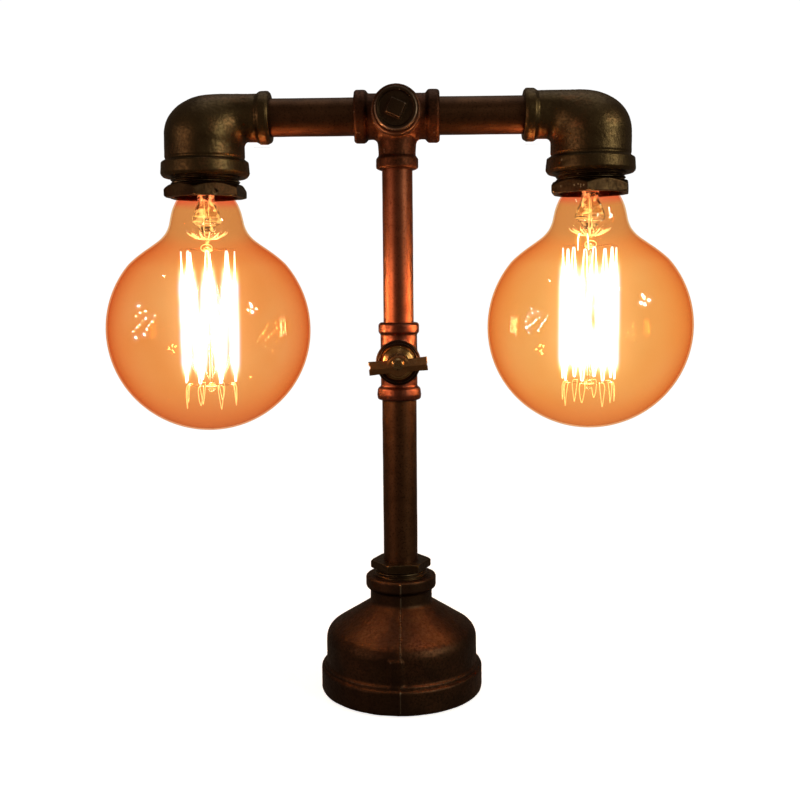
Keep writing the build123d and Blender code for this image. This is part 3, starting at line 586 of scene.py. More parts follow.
def plain_material(name, dark, light, rough, metallic=0.0, scale=300.0, depth=0.00006, strength=0.2, emission=None, power=0.0):
    """Moulded, drawn or turned small part: two close tones in a fine noise, with a little relief."""
    m, nt, bsdf, _ = new_material(name)
    vec = coords(nt)
    n = noise(nt, vec, scale, 3.0, 0.55)
    nt.links.new(ramp(nt, n, [(0.35, dark), (0.65, light)]), bsdf.inputs["Base Color"])
    nt.links.new(ramp(nt, n, [(0.35, (rough + 0.06,)), (0.65, (max(rough - 0.05, 0.03),))]), bsdf.inputs["Roughness"])
    bsdf.inputs["Metallic"].default_value = metallic
    nt.links.new(bump(nt, n, strength, depth), bsdf.inputs["Normal"])
    if emission:
        bsdf.inputs["Emission Color"].default_value = (*emission, 1)
        bsdf.inputs["Emission Strength"].default_value = power
    return m


def glass_material(name, wall, edge, neck, foot, gloss=0.9, rough=0.014, streak=0.0):
    """Thin tinted glass. Light passes straight through and is tinted; the tint deepens where the wall is seen edge on,
    deepens a little at the foot of the globe, and reddens in the neck close to the fitting, where the red is a painted
    glow of the lamp's light thrown back from the holder."""
    m, nt, bsdf, out = new_material(name)
    nt.nodes.remove(bsdf)
    lw = put(nt, "ShaderNodeLayerWeight", Blend=0.5)
    vec = coords(nt)
    xyz = nt.nodes.new("ShaderNodeSeparateXYZ")
    nt.links.new(vec, xyz.inputs[0])
    wave = noise(nt, vec, 22.0, 2.0, 0.5)
    tint = mixc(nt, maths(nt, "POWER", lw.outputs["Facing"], 2.0), wall, edge)
    tint = mixc(nt, ramp(nt, wave, [(0.35, (0.0,)), (0.75, (streak,))]), tint, tuple(c * c for c in wall))
    # the second band, the neck tone, is painted light: a red glow standing for the lamp's light thrown back from the
    # holder inside the hexagon
    for colour, z0, z1, most in (((0.900, 0.705, 0.500), arm_z - 80.0, arm_z - 66.0, 0.85), (neck, arm_z - 54.0, arm_z - 49.0, 0.95), (foot, arm_z - bulb_c - 38.0, arm_z - bulb_c - bulb_r, 0.7)):
        near = put(nt, "ShaderNodeMapRange", {"Value": xyz.outputs["Z"]}, interpolation_type="SMOOTHSTEP")
        near.inputs["From Min"].default_value, near.inputs["From Max"].default_value = z0 / 1000, z1 / 1000
        near.inputs["To Max"].default_value = most
        tint = mixc(nt, near.outputs[0], tint, colour)
    clear = nt.nodes.new("ShaderNodeBsdfTransparent")
    nt.links.new(tint, clear.inputs["Color"])
    shine = nt.nodes.new("ShaderNodeBsdfGlossy")
    shine.inputs["Color"].default_value = (gloss, gloss, gloss, 1)
    shine.inputs["Roughness"].default_value = rough
    nrm = bump(nt, noise(nt, vec, 30.0, 2.0, 0.5), 0.12, 0.0006)
    nt.links.new(nrm, shine.inputs["Normal"])
    # reflectance of one face of the wall, the same from inside and outside
    fres = put(nt, "ShaderNodeMapRange", {"Value": maths(nt, "POWER", lw.outputs["Facing"], 5.0)})
    fres.inputs["To Min"].default_value, fres.inputs["To Max"].default_value = 0.020, 0.16
    mix = nt.nodes.new("ShaderNodeMixShader")
    nt.links.new(fres.outputs[0], mix.inputs[0])
    nt.links.new(clear.outputs[0], mix.inputs[1])
    nt.links.new(shine.outputs[0], mix.inputs[2])
    nt.links.new(mix.outputs[0], out.inputs["Surface"])
    return m


def solid_glass(name, colour, rough=0.02):
    """Drawn and pinched glass of the mount: refracts, with a slow waviness and small glowing patches of painted glint.
    """
    m, nt, bsdf, _ = new_material(name)
    vec = coords(nt)
    tone = noise(nt, vec, 90.0, 2.0, 0.5)
    nt.links.new(ramp(nt, tone, [(0.3, tuple(c * 0.86 for c in colour)), (0.7, colour)]), bsdf.inputs["Base Color"])
    bsdf.inputs["Roughness"].default_value = rough
    bsdf.inputs["Transmission Weight"].default_value = 1.0
    bsdf.inputs["IOR"].default_value = 1.5
    nt.links.new(bump(nt, noise(nt, vec, 260.0, 2.0, 0.5), 0.5, 0.0005), bsdf.inputs["Normal"])
    # painted glints: small patches of the glass glow, standing for the strands' light caught at folds and bubbles
    spark = ramp(nt, noise(nt, vec, 190.0, 2.0, 0.55), [(0.57, (0.0,)), (0.63, (1.0,))])
    bsdf.inputs["Emission Strength"].default_value = 0.9
    nt.links.new(mixc(nt, spark, (0, 0, 0), (1.0, 0.80, 0.45)), bsdf.inputs["Emission Color"])
    return m


def glow_material(name, colour, power, bead_scale=1500.0):
    """Glowing carbon strand: hot along its length, a little uneven, cooler and redder where the hooks draw heat from it."""
    m, nt, bsdf, _ = new_material(name)
    vec = coords(nt)
    n = noise(nt, vec, bead_scale, 2.0, 0.5)
    xyz = nt.nodes.new("ShaderNodeSeparateXYZ")
    nt.links.new(vec, xyz.inputs[0])
    ends = []
    for z_end, z_far in ((arm_z - fil_top - 1.0, arm_z - fil_top - 25.0), (arm_z - fil_bot + 0.3, arm_z - fil_bot + 13.0)):
        near = put(nt, "ShaderNodeMapRange", {"Value": xyz.outputs["Z"]})
        near.inputs["From Min"].default_value, near.inputs["From Max"].default_value = z_far / 1000, z_end / 1000
        ends.append(near.outputs[0])
    body = ramp(nt, n, [(0.3, tuple(c * 0.8 for c in colour)), (0.7, colour)])
    tone = ramp(nt, maths(nt, "MAXIMUM", *ends), [(0.0, (1.0, 1.0, 1.0)), (0.25, (0.30, 0.33, 0.38)), (0.60, (0.055, 0.085, 0.140)), (1.0, (0.015, 0.028, 0.056))])
    nt.links.new(mixc(nt, 1.0, body, tone, "MULTIPLY"), bsdf.inputs["Emission Color"])
    bsdf.inputs["Emission Strength"].default_value = power
    bsdf.inputs["Base Color"].default_value = (0.25, 0.12, 0.05, 1)
    bsdf.inputs["Roughness"].default_value = 0.6
    return m


iron = iron_material("cast_fittings_elbow", (0.074, 0.049, 0.023), (0.118, 0.083, 0.039), (0.20, 0.080, 0.036), rough=0.38, worn_and_highlight=(0.50, 0.42, 0.27), wear_and_highlight=0.9)
# head tee: a redder copy of the fitting patina, the red being painted glow of the bulbs; its outlet lip also carries a
# painted highlight ring
iron_tee_painted_glow = iron_material("cast_fittings_tee_painted_glow", (0.046, 0.0200, 0.0110), (0.080, 0.034, 0.019), (0.15, 0.050, 0.026), rough=0.50, copper_at=(0.44, 0.66), grain=0.6, worn_and_highlight=(0.34, 0.22, 0.16),
                         wear_and_highlight=0.5, rim_highlight=(arm_z, 14.1, 0.7, 0.25))
iron_plug = iron_material("cast_fittings_plug", (0.036, 0.0220, 0.0130), (0.056, 0.035, 0.020), (0.08, 0.036, 0.020), rough=0.42, grain=0.6, worn_and_highlight=(0.46, 0.34, 0.27), wear_and_highlight=0.9, rim_highlight=(arm_z, 12.0, 0.7, 0.55))
iron_base = iron_material("cast_fittings_base", (0.040, 0.0210, 0.0135), (0.064, 0.036, 0.0200), (0.12, 0.052, 0.028), rough=0.44, copper_at=(0.50, 0.72), grain=1.0, worn_and_highlight=(0.46, 0.41, 0.31), wear_and_highlight=0.75)
iron_hex = iron_material("cast_fittings_hex", (0.042, 0.0240, 0.0125), (0.088, 0.056, 0.027), (0.14, 0.050, 0.022), rough=0.38, grain=0.7, worn_and_highlight=(0.50, 0.42, 0.27), wear_and_highlight=0.95)
# valve tee: a redder, brighter copy of the fitting patina; its red-copper tone is partly painted glow of the bulbs
iron_valve_painted_glow = iron_material("cast_fittings_valve_painted_glow", (0.110, 0.037, 0.023), (0.170, 0.060, 0.038), (0.27, 0.095, 0.056), rough=0.36, grain=0.6, black=(-16.0, (0.030, 0.016, 0.010)))
pipe_v = pipe_material("pipe_steel_stem", (0.068, 0.033, 0.0165), (0.112, 0.056, 0.028), rough=0.43, axis="z")
# upper stem pipe: a redder, brighter copy of the stem pipe's patina; its copper-red tone is painted glow of the bulbs
# on top of the patina
pipe_upper_painted_glow = pipe_material("pipe_steel_stem_patina_painted_glow", (0.150, 0.052, 0.028), (0.230, 0.080, 0.044), rough=0.42, axis="z")
pipe_h = pipe_material("pipe_steel_arm", (0.070, 0.033, 0.017), (0.118, 0.056, 0.028), rough=0.42, axis="x")
def bonnet_material(name, rim, dish, hot_dish):
    """Turned bonnet: blackened rim, dish inside it polished, with fine turning rings."""
    m, nt, bsdf, _ = new_material(name)
    vec = coords(nt)
    mapping = nt.nodes.new("ShaderNodeMapping")
    nt.links.new(vec, mapping.inputs["Vector"])
    mapping.inputs["Location"].default_value = (0, 0, -valve_z / 1000)
    mapping.inputs["Scale"].default_value = (1, 0, 1)
    rad = put(nt, "ShaderNodeVectorMath", {"Vector": mapping.outputs[0]}, operation="LENGTH").outputs["Value"]
    inner = put(nt, "ShaderNodeMapRange", {"Value": rad})
    inner.inputs["From Min"].default_value, inner.inputs["From Max"].default_value = 0.0108, 0.0102
    cloud = noise(nt, vec, 240.0, 3.0, 0.6)
    face = ramp(nt, cloud, [(0.35, dish), (0.65, hot_dish)])
    edge = ramp(nt, cloud, [(0.35, rim), (0.70, tuple(c * 1.8 for c in rim))])
    nt.links.new(mixc(nt, inner.outputs[0], edge, face), bsdf.inputs["Base Color"])
    bsdf.inputs["Metallic"].default_value = 1.0
    nt.links.new(mixc(nt, inner.outputs[0], (0.34, 0.34, 0.34), ramp(nt, cloud, [(0.3, (0.20,)), (0.7, (0.13,))])), bsdf.inputs["Roughness"])
    rings = maths(nt, "SINE", maths(nt, "MULTIPLY", rad, 2 * math.pi / 0.0006))
    nt.links.new(bump(nt, cloud, 0.25, 0.0002, bump(nt, rings, 0.25, 0.00004)), bsdf.inputs["Normal"])
    return m


bronze = iron_material("bronze_small_parts", (0.20, 0.13, 0.06), (0.36, 0.24, 0.11), (0.55, 0.25, 0.09), rough=0.22, grain=0.5)
bronze_dish = bonnet_material("bronze_bonnet_turned", (0.030, 0.016, 0.009), (0.30, 0.15, 0.055), (0.56, 0.34, 0.13))
handle = iron_material("handle_metal_dark", (0.18, 0.090, 0.038), (0.33, 0.180, 0.075), (0.48, 0.17, 0.065), rough=0.32, grain=0.8, worn_and_highlight=(0.70, 0.52, 0.24), wear_and_highlight=0.95)
zinc = plain_material("zinc_plated", (0.45, 0.45, 0.44), (0.62, 0.62, 0.60), 0.32, 1.0)
sheet = plain_material("plate_black", (0.015, 0.015, 0.015), (0.03, 0.03, 0.03), 0.45, scale=500.0)
rubber = plain_material("rubber_black", (0.012, 0.012, 0.012), (0.028, 0.027, 0.026), 0.62, scale=700.0)
plastic = plain_material("terminal_ivory", (0.62, 0.59, 0.50), (0.72, 0.69, 0.60), 0.35)
phenolic = plain_material("switch_phenolic", (0.02, 0.017, 0.015), (0.04, 0.03, 0.025), 0.4)
brass = plain_material("brass_bright", (0.55, 0.36, 0.13), (0.72, 0.50, 0.20), 0.28, 1.0)
porcelain = plain_material("holder_porcelain", (0.74, 0.71, 0.64), (0.84, 0.81, 0.75), 0.16)
vitrite = plain_material("cap_vitrite", (0.012, 0.010, 0.015), (0.03, 0.026, 0.035), 0.15)
solder = plain_material("cap_solder_tip", (0.50, 0.50, 0.48), (0.66, 0.65, 0.63), 0.38, 1.0)
amber = {"right": glass_material("amber_glass_right", (0.983, 0.818, 0.598), (0.94, 0.55, 0.31), (0.955, 0.600, 0.46), (0.95, 0.70, 0.50), streak=0.30),
         "left": glass_material("amber_glass_left", (0.970, 0.790, 0.585), (0.92, 0.50, 0.29), (0.955, 0.585, 0.45), (0.93, 0.66, 0.48), streak=0.36)}
clear_mount = solid_glass("mount_glass_clear", (1.0, 0.93, 0.80))
wire_dim = plain_material("support_wire_dark", (0.30, 0.13, 0.05), (0.42, 0.20, 0.08), 0.5)
# support and lead-in wires glow by painted light: emission standing for the strands' light caught on them
wire_painted_glow = plain_material("support_wire_painted_glow", (0.75, 0.60, 0.34), (0.92, 0.78, 0.48), 0.30, 1.0, emission=(1.0, 0.82, 0.52), power=1.6)
lead_in_painted_glow = plain_material("lead_in_wire_painted_glow", (0.80, 0.70, 0.50), (0.95, 0.88, 0.70), 0.30, 1.0, emission=(0.90, 0.92, 1.0), power=7.0)
hot = glow_material("filament_glow_hot", (1.0, 0.80, 0.62), 130.0)


def dress(ob, *mats):
    ob.data.materials.clear()
    for m in mats:
        ob.data.materials.append(m)


# ================================================================== pieces
def stands_for(ob, node, body, material):
    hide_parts(node)
    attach(ob, body)
    dress(ob, material)
    return ob


# ---- base
base_out = Profile([(0, 1.0, 0), (band_r, 1.0, 1.4), (band_r, band_top, 2.0), (skirt_r + 1.4, band_top + 0.5, 0), (skirt_r + 1.4, band_top + 2.2, 0.8),
                    (skirt_r, band_top + 2.9, 0.6), (skirt_r, shoulder_z, 9.5), (neck_r, neck_z, 3.0), (neck_r, bead1_z0, 1.0),
                    (bead1_r, bead1_z0 + 1.8, 1.8), (bead1_r, bead1_z1, 1.3), (0, bead1_z1, 0)])
base_in = Profile([(0, 0, 0), (46.0, 0, 0), (46.0, 4.5, 0), (43.5, 4.5, 0.6), (43.5, 36.3, 6.0), (thread1_r, 55.2, 0), (thread1_r, 75.0, 0), (0, 75.0, 0)])


def base_shape(p):
    x, y, z = p.T
    d = along_z(base_out, p)
    rib = np.maximum(np.maximum(np.abs(x) - 0.5, d - 0.65), np.maximum(3.0 - z, z - 72.6))
    d = smin(d, rib, 0.45)
    flat = block(p, (-2.4, -skirt_r + 0.45, 25.0), (3.9, 1.5, 8.8), 1.1)
    d = smin(d, flat, 2.0)
    hollow = along_z(base_in, p)
    for k in range(3):
        a = math.radians(30 + 120 * k)
        hollow = np.maximum(hollow, -rod_z(p, 5.0, 4.5, 16.5, 38.6 * math.cos(a), 38.6 * math.sin(a)))
    d = np.maximum(d, -hollow)
    for k in range(3):
        a = math.radians(30 + 120 * k)
        d = np.maximum(d, -rod_z(p, 2.0, 4.0, 15.0, 38.6 * math.cos(a), 38.6 * math.sin(a)))
    d = np.maximum(d, -rod_y(p, 6.0, 30.0, 60.0, 25.5))
    return smax(d, -rod_y(p, 9.2, 48.0, 60.0, 25.5), 0.3)


o = casting("base_casting", base_shape, (-52, -52, 0), (52, 52, 75), 0.66, grain=0.05, coarse=0.12, seed=11)
stands_for(o, "base_reducer", "stand", iron_base)


def cone(r, z, r0, z0, nr, nz):
    s = math.hypot(nr, nz)
    return ((r - r0) * nr + (z - z0) * nz) / s


def base_hex(p):
    x, y, z = p.T
    r, ang = np.hypot(x, y), np.arctan2(y, x)
    screw = np.maximum(thread(r, z, ang, thread1_r, 2.3, 0.95, 73.6, 79.5), np.maximum(61.0 - z, z - 78.6))
    top = np.maximum(hexagon(x, y, hex1_af / 2, 6.0), np.maximum(hex1_z0 - z, z - hex1_z1))
    top = smax(top, cone(r, z, 17.7, hex1_z1, 1.6, 3.1), 0.3)
    top = smax(top, cone(r, z, 18.2, hex1_z0, 1.4, -2.8), 0.3)
    d = smin(screw, top, 0.3)
    d = np.maximum(d, -rod_z(p, lower_r, 66.0, 90.0))
    return np.maximum(d, -rod_z(p, 9.0, 50.0, 67.0))


o = casting("base_hex_bushing", base_hex, (-20, -20, 60), (20, 20, 84), 0.38, grain=0.03, coarse=0.05, seed=21)
stands_for(o, "base_bushing", "stand", iron_hex)


# ---- pipes
def pipe(name, node, body, r, bore, h0, h1, origin, axis, material):
    pts = dense([(bore, h0), (r - 0.5, h0), (r, h0 + 0.5), (r, h1 - 0.5), (r - 0.5, h1), (bore, h1)], 2.5)
    ob = spun(name, pts, origin, axis, 112, wobble=0.05, seed=31)
    return stands_for(ob, node, body, material)


pipe("stem_pipe_lower", "lower_pipe", "stand", lower_r, lower_bore, 66.0, 192.4, (0, 0, 0), "z", pipe_v)
pipe("stem_pipe_upper", "upper_pipe", "stand", upper_r, upper_bore, 224.8, 333.4, (0, 0, 0), "z", pipe_upper_painted_glow)
for side, word in ((-1, "left"), (1, "right")):
    pipe(word + "_arm_pipe", word + "_arm", "head", arm_r, arm_bore, 17.5, 83.4, (0, 0, arm_z), "x" if side > 0 else "-x", pipe_h)

# ---- valve tee
vt_run = Profile([(0, 184.6, 0), (13.2, 184.6, 1.4), (13.6, 187.8, 1.6), (13.1, 191.6, 1.8), (11.3, 193.0, 1.4), (11.3, 224.8, 1.4), (12.5, 226.2, 1.7), (12.5, 232.2, 2.0), (0, 232.2, 0)])
vt_port = Profile([(0, -4, 0), (11.6, -4, 0), (11.6, 16.3, 1.0), (13.5, 17.7, 1.5), (13.5, 23.5, 1.4), (0, 23.5, 0)])


def valve_shape(p):
    d = smin(along_z(vt_run, p), along_front(vt_port, p, valve_z), 2.6)
    d = np.maximum(d, -rod_z(p, lower_r, 180.0, 192.4))
    d = np.maximum(d, -rod_z(p, upper_r, 224.8, 240.0))
    d = np.maximum(d, -rod_z(p, 8.6, 190.0, 227.0))
    return np.maximum(d, -rod_y(p, 9.3, -26.0, 8.0, valve_z))


o = casting("valve_tee_casting", valve_shape, (-14.5, -24.5, 183), (14.5, 14.5, 234), 0.42, grain=0.03, coarse=0.08, seed=41)
stands_for(o, "valve_tee", "stand", iron_valve_painted_glow)

# ---- bonnet, nut and handle
bonnet_pts = rounded([(4.5, 14.0, 0), (9.3, 14.0, 0.6), (9.3, 23.5, 0), (11.9, 23.5, 0), (11.9, 25.3, 1.0), (11.0, 25.9, 0.5), (10.5, 24.5, 0.4),
                      (9.7, 24.2, 0.4), (8.6, 24.8, 0.6), (6.6, 25.6, 1.2), (4.5, 26.0, 0)], 5)
o = spun("bonnet_turned", dense(bonnet_pts, 1.2), (0, 0, valve_z), "front", 144, sharp=40)
stands_for(o, "valve_bonnet", "stand", bronze_dish)


def handle_shape(p):
    a = math.radians(5.0)
    u = p[:, 0] * math.cos(a) + (p[:, 2] - valve_z) * math.sin(a)
    w = -p[:, 0] * math.sin(a) + (p[:, 2] - valve_z) * math.cos(a) + 1.3
    f = -p[:, 1]
    # flat bar with a low ridge along it, a shade wider at its tips
    wide = 3.75 + 0.30 * np.clip((np.abs(u) - 7.0) / 9.0, 0, 1) ** 1.5
    flat = np.maximum(np.abs(w) - wide, np.abs(u) - 17.3)
    front = f - (34.3 - 0.34 * np.abs(w + 0.5) - 0.045 * np.abs(u))
    bar = smax(smax(flat, front, 0.5), 28.7 + 0.02 * np.abs(u) - f, 0.6)
    # hub: a peaked boss above the bar and a round one below it
    hub = smax(np.hypot(u, w) - 6.3, np.abs(f - 31.0) - (2.7 - 0.014 * (u * u + w * w)), 1.0)
    d = smin(bar, hub, 0.8)
    # the notch in the left tip and the nick in the right one
    d = smax(d, -(np.hypot(u + 18.0, w - 0.7) - 1.55), 0.3)
    d = smax(d, -(np.hypot(u - 18.3, w + 0.6) - 1.25), 0.3)
    w = w - 1.3
    d = np.maximum(d, -rod_y(p, 3.0, -32.4, -20.0, valve_z))
    return np.maximum(d, -rod_y(p, 1.7, -40.0, -30.0, valve_z))


o = casting("tee_handle", handle_shape, (-19, -35.5, 198), (19, -27.5, 218.6), 0.30, grain=0.03, coarse=0.10, seed=51)
stands_for(o, "t_handle", "switch_handle", handle)

# ---- head tee and plug
ht_run = Profile([(0, -10, 0), (13.4, -10, 0), (13.4, 17.3, 1.2), (15.5, 19.0, 1.8), (15.5, 25.5, 1.7), (0, 25.5, 0)])
ht_branch = Profile([(0, -8, 0), (12.1, -8, 0), (12.1, 4, 4), (10.9, 21.5, 2.0), (10.9, 23.4, 1.0), (12.4, 25.4, 1.7), (12.4, 31.7, 1.8), (0, 31.7, 0)])
ht_port = Profile([(0, -8, 0), (13.1, -8, 0), (13.1, 18.3, 1.2), (14.6, 19.7, 1.5), (14.6, 25.5, 1.6), (0, 25.5, 0)])


def head_shape(p):
    run = np.minimum(along_x(ht_run, p, arm_z, 1), along_x(ht_run, p, arm_z, -1))
    d = smin(run, along_z(ht_branch, p, arm_z, down=True), 3.2)
    d = smin(d, along_front(ht_port, p, arm_z), 2.4)
    rib = np.maximum(np.maximum(np.abs(p[:, 1]) - 0.4, d - 0.35), np.maximum(p[:, 2] - arm_z - 60, arm_z - 31 - p[:, 2]))
    d = smin(d, rib, 0.4)
    d = np.maximum(d, -rod_x(p, arm_r, 17.5, 30.0, arm_z))
    d = np.maximum(d, -rod_x(p, arm_r, -30.0, -17.5, arm_z))
    d = np.maximum(d, -rod_x(p, 10.2, -18.0, 18.0, arm_z))
    d = np.maximum(d, -rod_z(p, upper_r + run_gap, 315.0, 333.8))
    d = np.maximum(d, -rod_z(p, 8.2, 330.0, arm_z))
    return np.maximum(d, -rod_y(p, 10.3, -30.0, 0.0, arm_z))


o = casting("head_tee_casting", head_shape, (-26.5, -26.5, 323), (26.5, 16.5, 372.5), 0.45, grain=0.04, coarse=0.10, seed=61)
stands_for(o, "head_tee", "head", iron_tee_painted_glow)

plug_prof = Profile([(0, 20.0, 0), (7.6, 20.0, 0), (7.6, 15.5, 0), (10.3, 15.5, 0.6), (10.3, 25.5, 0), (12.7, 25.5, 0.5), (12.7, 28.9, 1.2), (10.4, 28.9, 0.6), (9.9, 27.8, 0.4), (0, 27.8, 0)], step=0.1)


def plug_shape(p):
    a = math.radians(-24)
    u = p[:, 0] * math.cos(a) + (p[:, 2] - arm_z) * math.sin(a)
    w = -p[:, 0] * math.sin(a) + (p[:, 2] - arm_z) * math.cos(a)
    f = -p[:, 1]
    half = 4.8 - 0.10 * np.clip(f - 27.5, 0, 4)
    boss = smax(smax(np.abs(u) - half, np.abs(w) - half, 0.5), np.maximum(f - 31.1, 26.0 - f), 0.5)
    return smin(along_front(plug_prof, p, arm_z), boss, 0.5)


o = casting("side_plug", plug_shape, (-13.5, -32, 342), (13.5, -15, 370), 0.30, grain=0.03, coarse=0.07, seed=71)
stands_for(o, "tee_plug", "head", iron_plug)

# ---- reducing elbows
pivot = np.array([-el_big_r - el_fillet, -el_small_r - el_fillet])
oval_c, oval_a, oval_b = (-6.0, -10.0), 30.1, 24.0
reach = []
for deg in range(91):
    eu, ew = math.cos(math.radians(deg)), math.sin(math.radians(deg))
    if deg == 0:
        reach.append(2 * el_big_r + el_fillet)
        continue
    du, dw = pivot[0] - oval_c[0], pivot[1] - oval_c[1]
    qa = (eu / oval_a) ** 2 + (ew / oval_b) ** 2
    qb = 2 * (eu * du / oval_a ** 2 + ew * dw / oval_b ** 2)
    qc = (du / oval_a) ** 2 + (dw / oval_b) ** 2 - 1
    disc = qb * qb - 4 * qa * qc
    rr = (-qb + math.sqrt(max(disc, 0))) / (2 * qa)
    if disc < 0 or pivot[0] + rr * eu < oval_c[0]:
        rr = (el_small_r - pivot[1]) / ew
    reach.append(rr)
reach = np.array(reach)
kernel = np.exp(-0.5 * (np.arange(-9, 10) / 3.5) ** 2)
padded = np.concatenate([2 * reach[0] - reach[9:0:-1], reach, 2 * reach[-1] - reach[-2:-11:-1]])
smooth_reach = np.convolve(padded, kernel / kernel.sum(), "valid")
blend_w = np.clip(np.minimum(np.arange(91), 90 - np.arange(91)) / 8.0, 0, 1)
straight = np.where(np.arange(91) < 45, reach[0] / np.cos(np.radians(np.minimum(np.arange(91), 45))), reach)
reach = straight * (1 - blend_w) + smooth_reach * blend_w

big_leg = Profile([(0, -40, 0), (el_big_r, -40, 0), (el_big_r, 23.2, 0.5), (el_big_r - 0.45, 24.0, 0.5), (el_big_r - 0.35, 24.9, 0.5), (el_big_r + 0.7, 25.6, 0.5), (26.2, 26.5, 0.8),
                   (26.8, 33.2, 1.8), (25.4, 35.2, 1.2), (0, 35.2, 0)])
small_leg = Profile([(0, el_in, 0), (14.6, el_in, 0.9), (15.5, el_in + 2.0, 1.4), (15.5, el_in + 6.2, 1.8), (el_small_r, el_in + 8.4, 1.2), (el_small_r, 150, 0), (0, 150, 0)])
big_h, small_x = -pivot[1], head_x + pivot[0]


def elbow_outer(u, y, w):
    """u outward from the lamp axis, w upward from the arm axis."""
    q_u, q_w = u - pivot[0], w - pivot[1]
    rho, phi = np.hypot(q_u, q_w), np.degrees(np.arctan2(q_w, q_u))
    rc = np.interp(np.clip(phi, 0, 90), np.arange(91), reach)
    rad = (rc - el_fillet) / 2
    bend = np.hypot(rho - (el_fillet + rad), y) - rad
    inside = (phi >= 0) & (phi <= 90)
    # below the bend plane and behind the small end the straight legs take over
    leg_b = np.maximum(big_leg(np.hypot(u, y), -w), w - pivot[1])
    leg_s = np.maximum(small_leg(np.hypot(y, w), u + head_x), u - pivot[0])
    gap = np.minimum(np.abs(q_w), np.abs(q_u))
    bend = np.where(inside, bend, np.maximum(bend, np.where(phi < 0, -q_w, -q_u)))
    return np.minimum(np.minimum(leg_b, leg_s), bend), bend, inside, gap


def elbow_shape(side):
    def shape(p):
        u, y, w = p[:, 0] * side - head_x, p[:, 1], p[:, 2] - arm_z
        d, bend, inside, _ = elbow_outer(u, y, w)
        # parting line of the casting, in the plane of the bend
        seam = np.maximum(np.maximum(np.abs(y) - 0.4, d - 0.4), np.maximum(-w - 34.0, -(u + head_x) + el_in + 1.0))
        d = smin(d, seam, 0.4)
        # core: the bend and the two legs, one wall thickness in
        core = np.where(inside, bend + el_wall, 9.0)
        core = np.minimum(core, np.maximum(np.hypot(u, y) - (el_big_r - el_wall), np.maximum(w - pivot[1] - 0.3, -w - 31.2)))
        core = np.minimum(core, np.maximum(np.hypot(y, w) - (el_small_r - el_wall), np.maximum(el_in + 4 - (u + head_x), u - pivot[0] - 0.3)))
        d = np.maximum(d, -core)
        d = np.maximum(d, -np.maximum(np.hypot(u, y) - thread2_r, np.maximum(w + 21.0, -w - 40.0)))
        return np.maximum(d, -np.maximum(np.hypot(y, w) - (arm_r + run_gap), (u + head_x) - 83.8))
    return shape


for side, word in ((-1, "left"), (1, "right")):
    xs = sorted((side * (el_in - 1), side * (head_x + 28)))
    o = casting(word + "_elbow_casting", elbow_shape(side), (xs[0], -28, 319.5), (xs[1], 28, 373), 0.52, grain=0.05, coarse=0.14, seed=81 + side)
    stands_for(o, word + "_elbow", word + "_lamp", iron)


# ---- lamp bushings
def lamp_hex(side, turn):
    def shape(p):
        u, y, h = p[:, 0] - side * head_x, p[:, 1], arm_z - p[:, 2]
        r, ang = np.hypot(u, y), np.arctan2(y, u)
        screw = np.maximum(thread(r, -h, ang, thread2_r, 2.3, 1.0, -41.5, -35.3), np.maximum(23.2 - h, h - 40.3))
        top = np.maximum(hexagon(u, y, hex2_af / 2, turn), np.maximum(hex2_h0 - h, h - hex2_h1))
        top = smax(top, cone(r, h, 22.2, hex2_h0, 4.2, -5.4), 0.6)
        top = smax(top, cone(r, h, 24.4, hex2_h1, 1.4, 2.9), 0.5)
        d = smin(screw, top, 0.5)
        if side < 0:
            a = math.radians(turn - 90.0)
            out, along = u * math.cos(a) + y * math.sin(a), y * math.cos(a) - u * math.sin(a)
            d = smax(d, -np.maximum(np.hypot(along, h - 45.0) - 1.4, hex2_af / 2 - 1.4 - out), 0.2)
        return smax(d, -(r - hex2_bore), 0.35)
    return shape


for side, word, turn in ((-1, "left", 26.0), (1, "right", 17.0)):
    cx = side * head_x
    o = casting(word + "_hex_bushing", lamp_hex(side, turn), (cx - 27, -27, 307.5), (cx + 27, 27, 334), 0.42, grain=0.04, coarse=0.08, seed=91 + side)
    stands_for(o, word + "_lamp_bushing", word + "_lamp", iron_hex)

# ---- globes
neck_up = math.sqrt(bulb_r ** 2 - 48.0 ** 2)
neck_line = [(48.0, neck_up), (43.7, 43.4), (38.6, 47.4), (33.2, 51.2), (28.3, 54.9), (24.9, 58.8), (22.9, 63.1), (21.9, 67.4),
             (20.8, 71.9), (19.0, 76.4), (16.6, 80.4), (14.0, 83.6), (12.5, 85.6)]


def spline(points, first, last, per=6):
    """Cubic through the points with chord-length steps and the given end directions."""
    p = np.array(points, float)
    t = np.concatenate([[0], np.cumsum(np.linalg.norm(np.diff(p, axis=0), axis=1))])
    m = np.empty_like(p)
    m[1:-1] = (p[2:] - p[:-2]) / (t[2:] - t[:-2])[:, None]
    m[0], m[-1] = np.array(first) / np.linalg.norm(first), np.array(last) / np.linalg.norm(last)
    out = []
    for i in range(len(p) - 1):
        dt = t[i + 1] - t[i]
        for s in np.arange(per) / per:
            h00, h10, h01, h11 = 2 * s ** 3 - 3 * s ** 2 + 1, s ** 3 - 2 * s ** 2 + s, -2 * s ** 3 + 3 * s ** 2, s ** 3 - s ** 2
            out.append(h00 * p[i] + h10 * dt * m[i] + h01 * p[i + 1] + h11 * dt * m[i + 1])
    out.append(p[-1])
    return np.array(out)


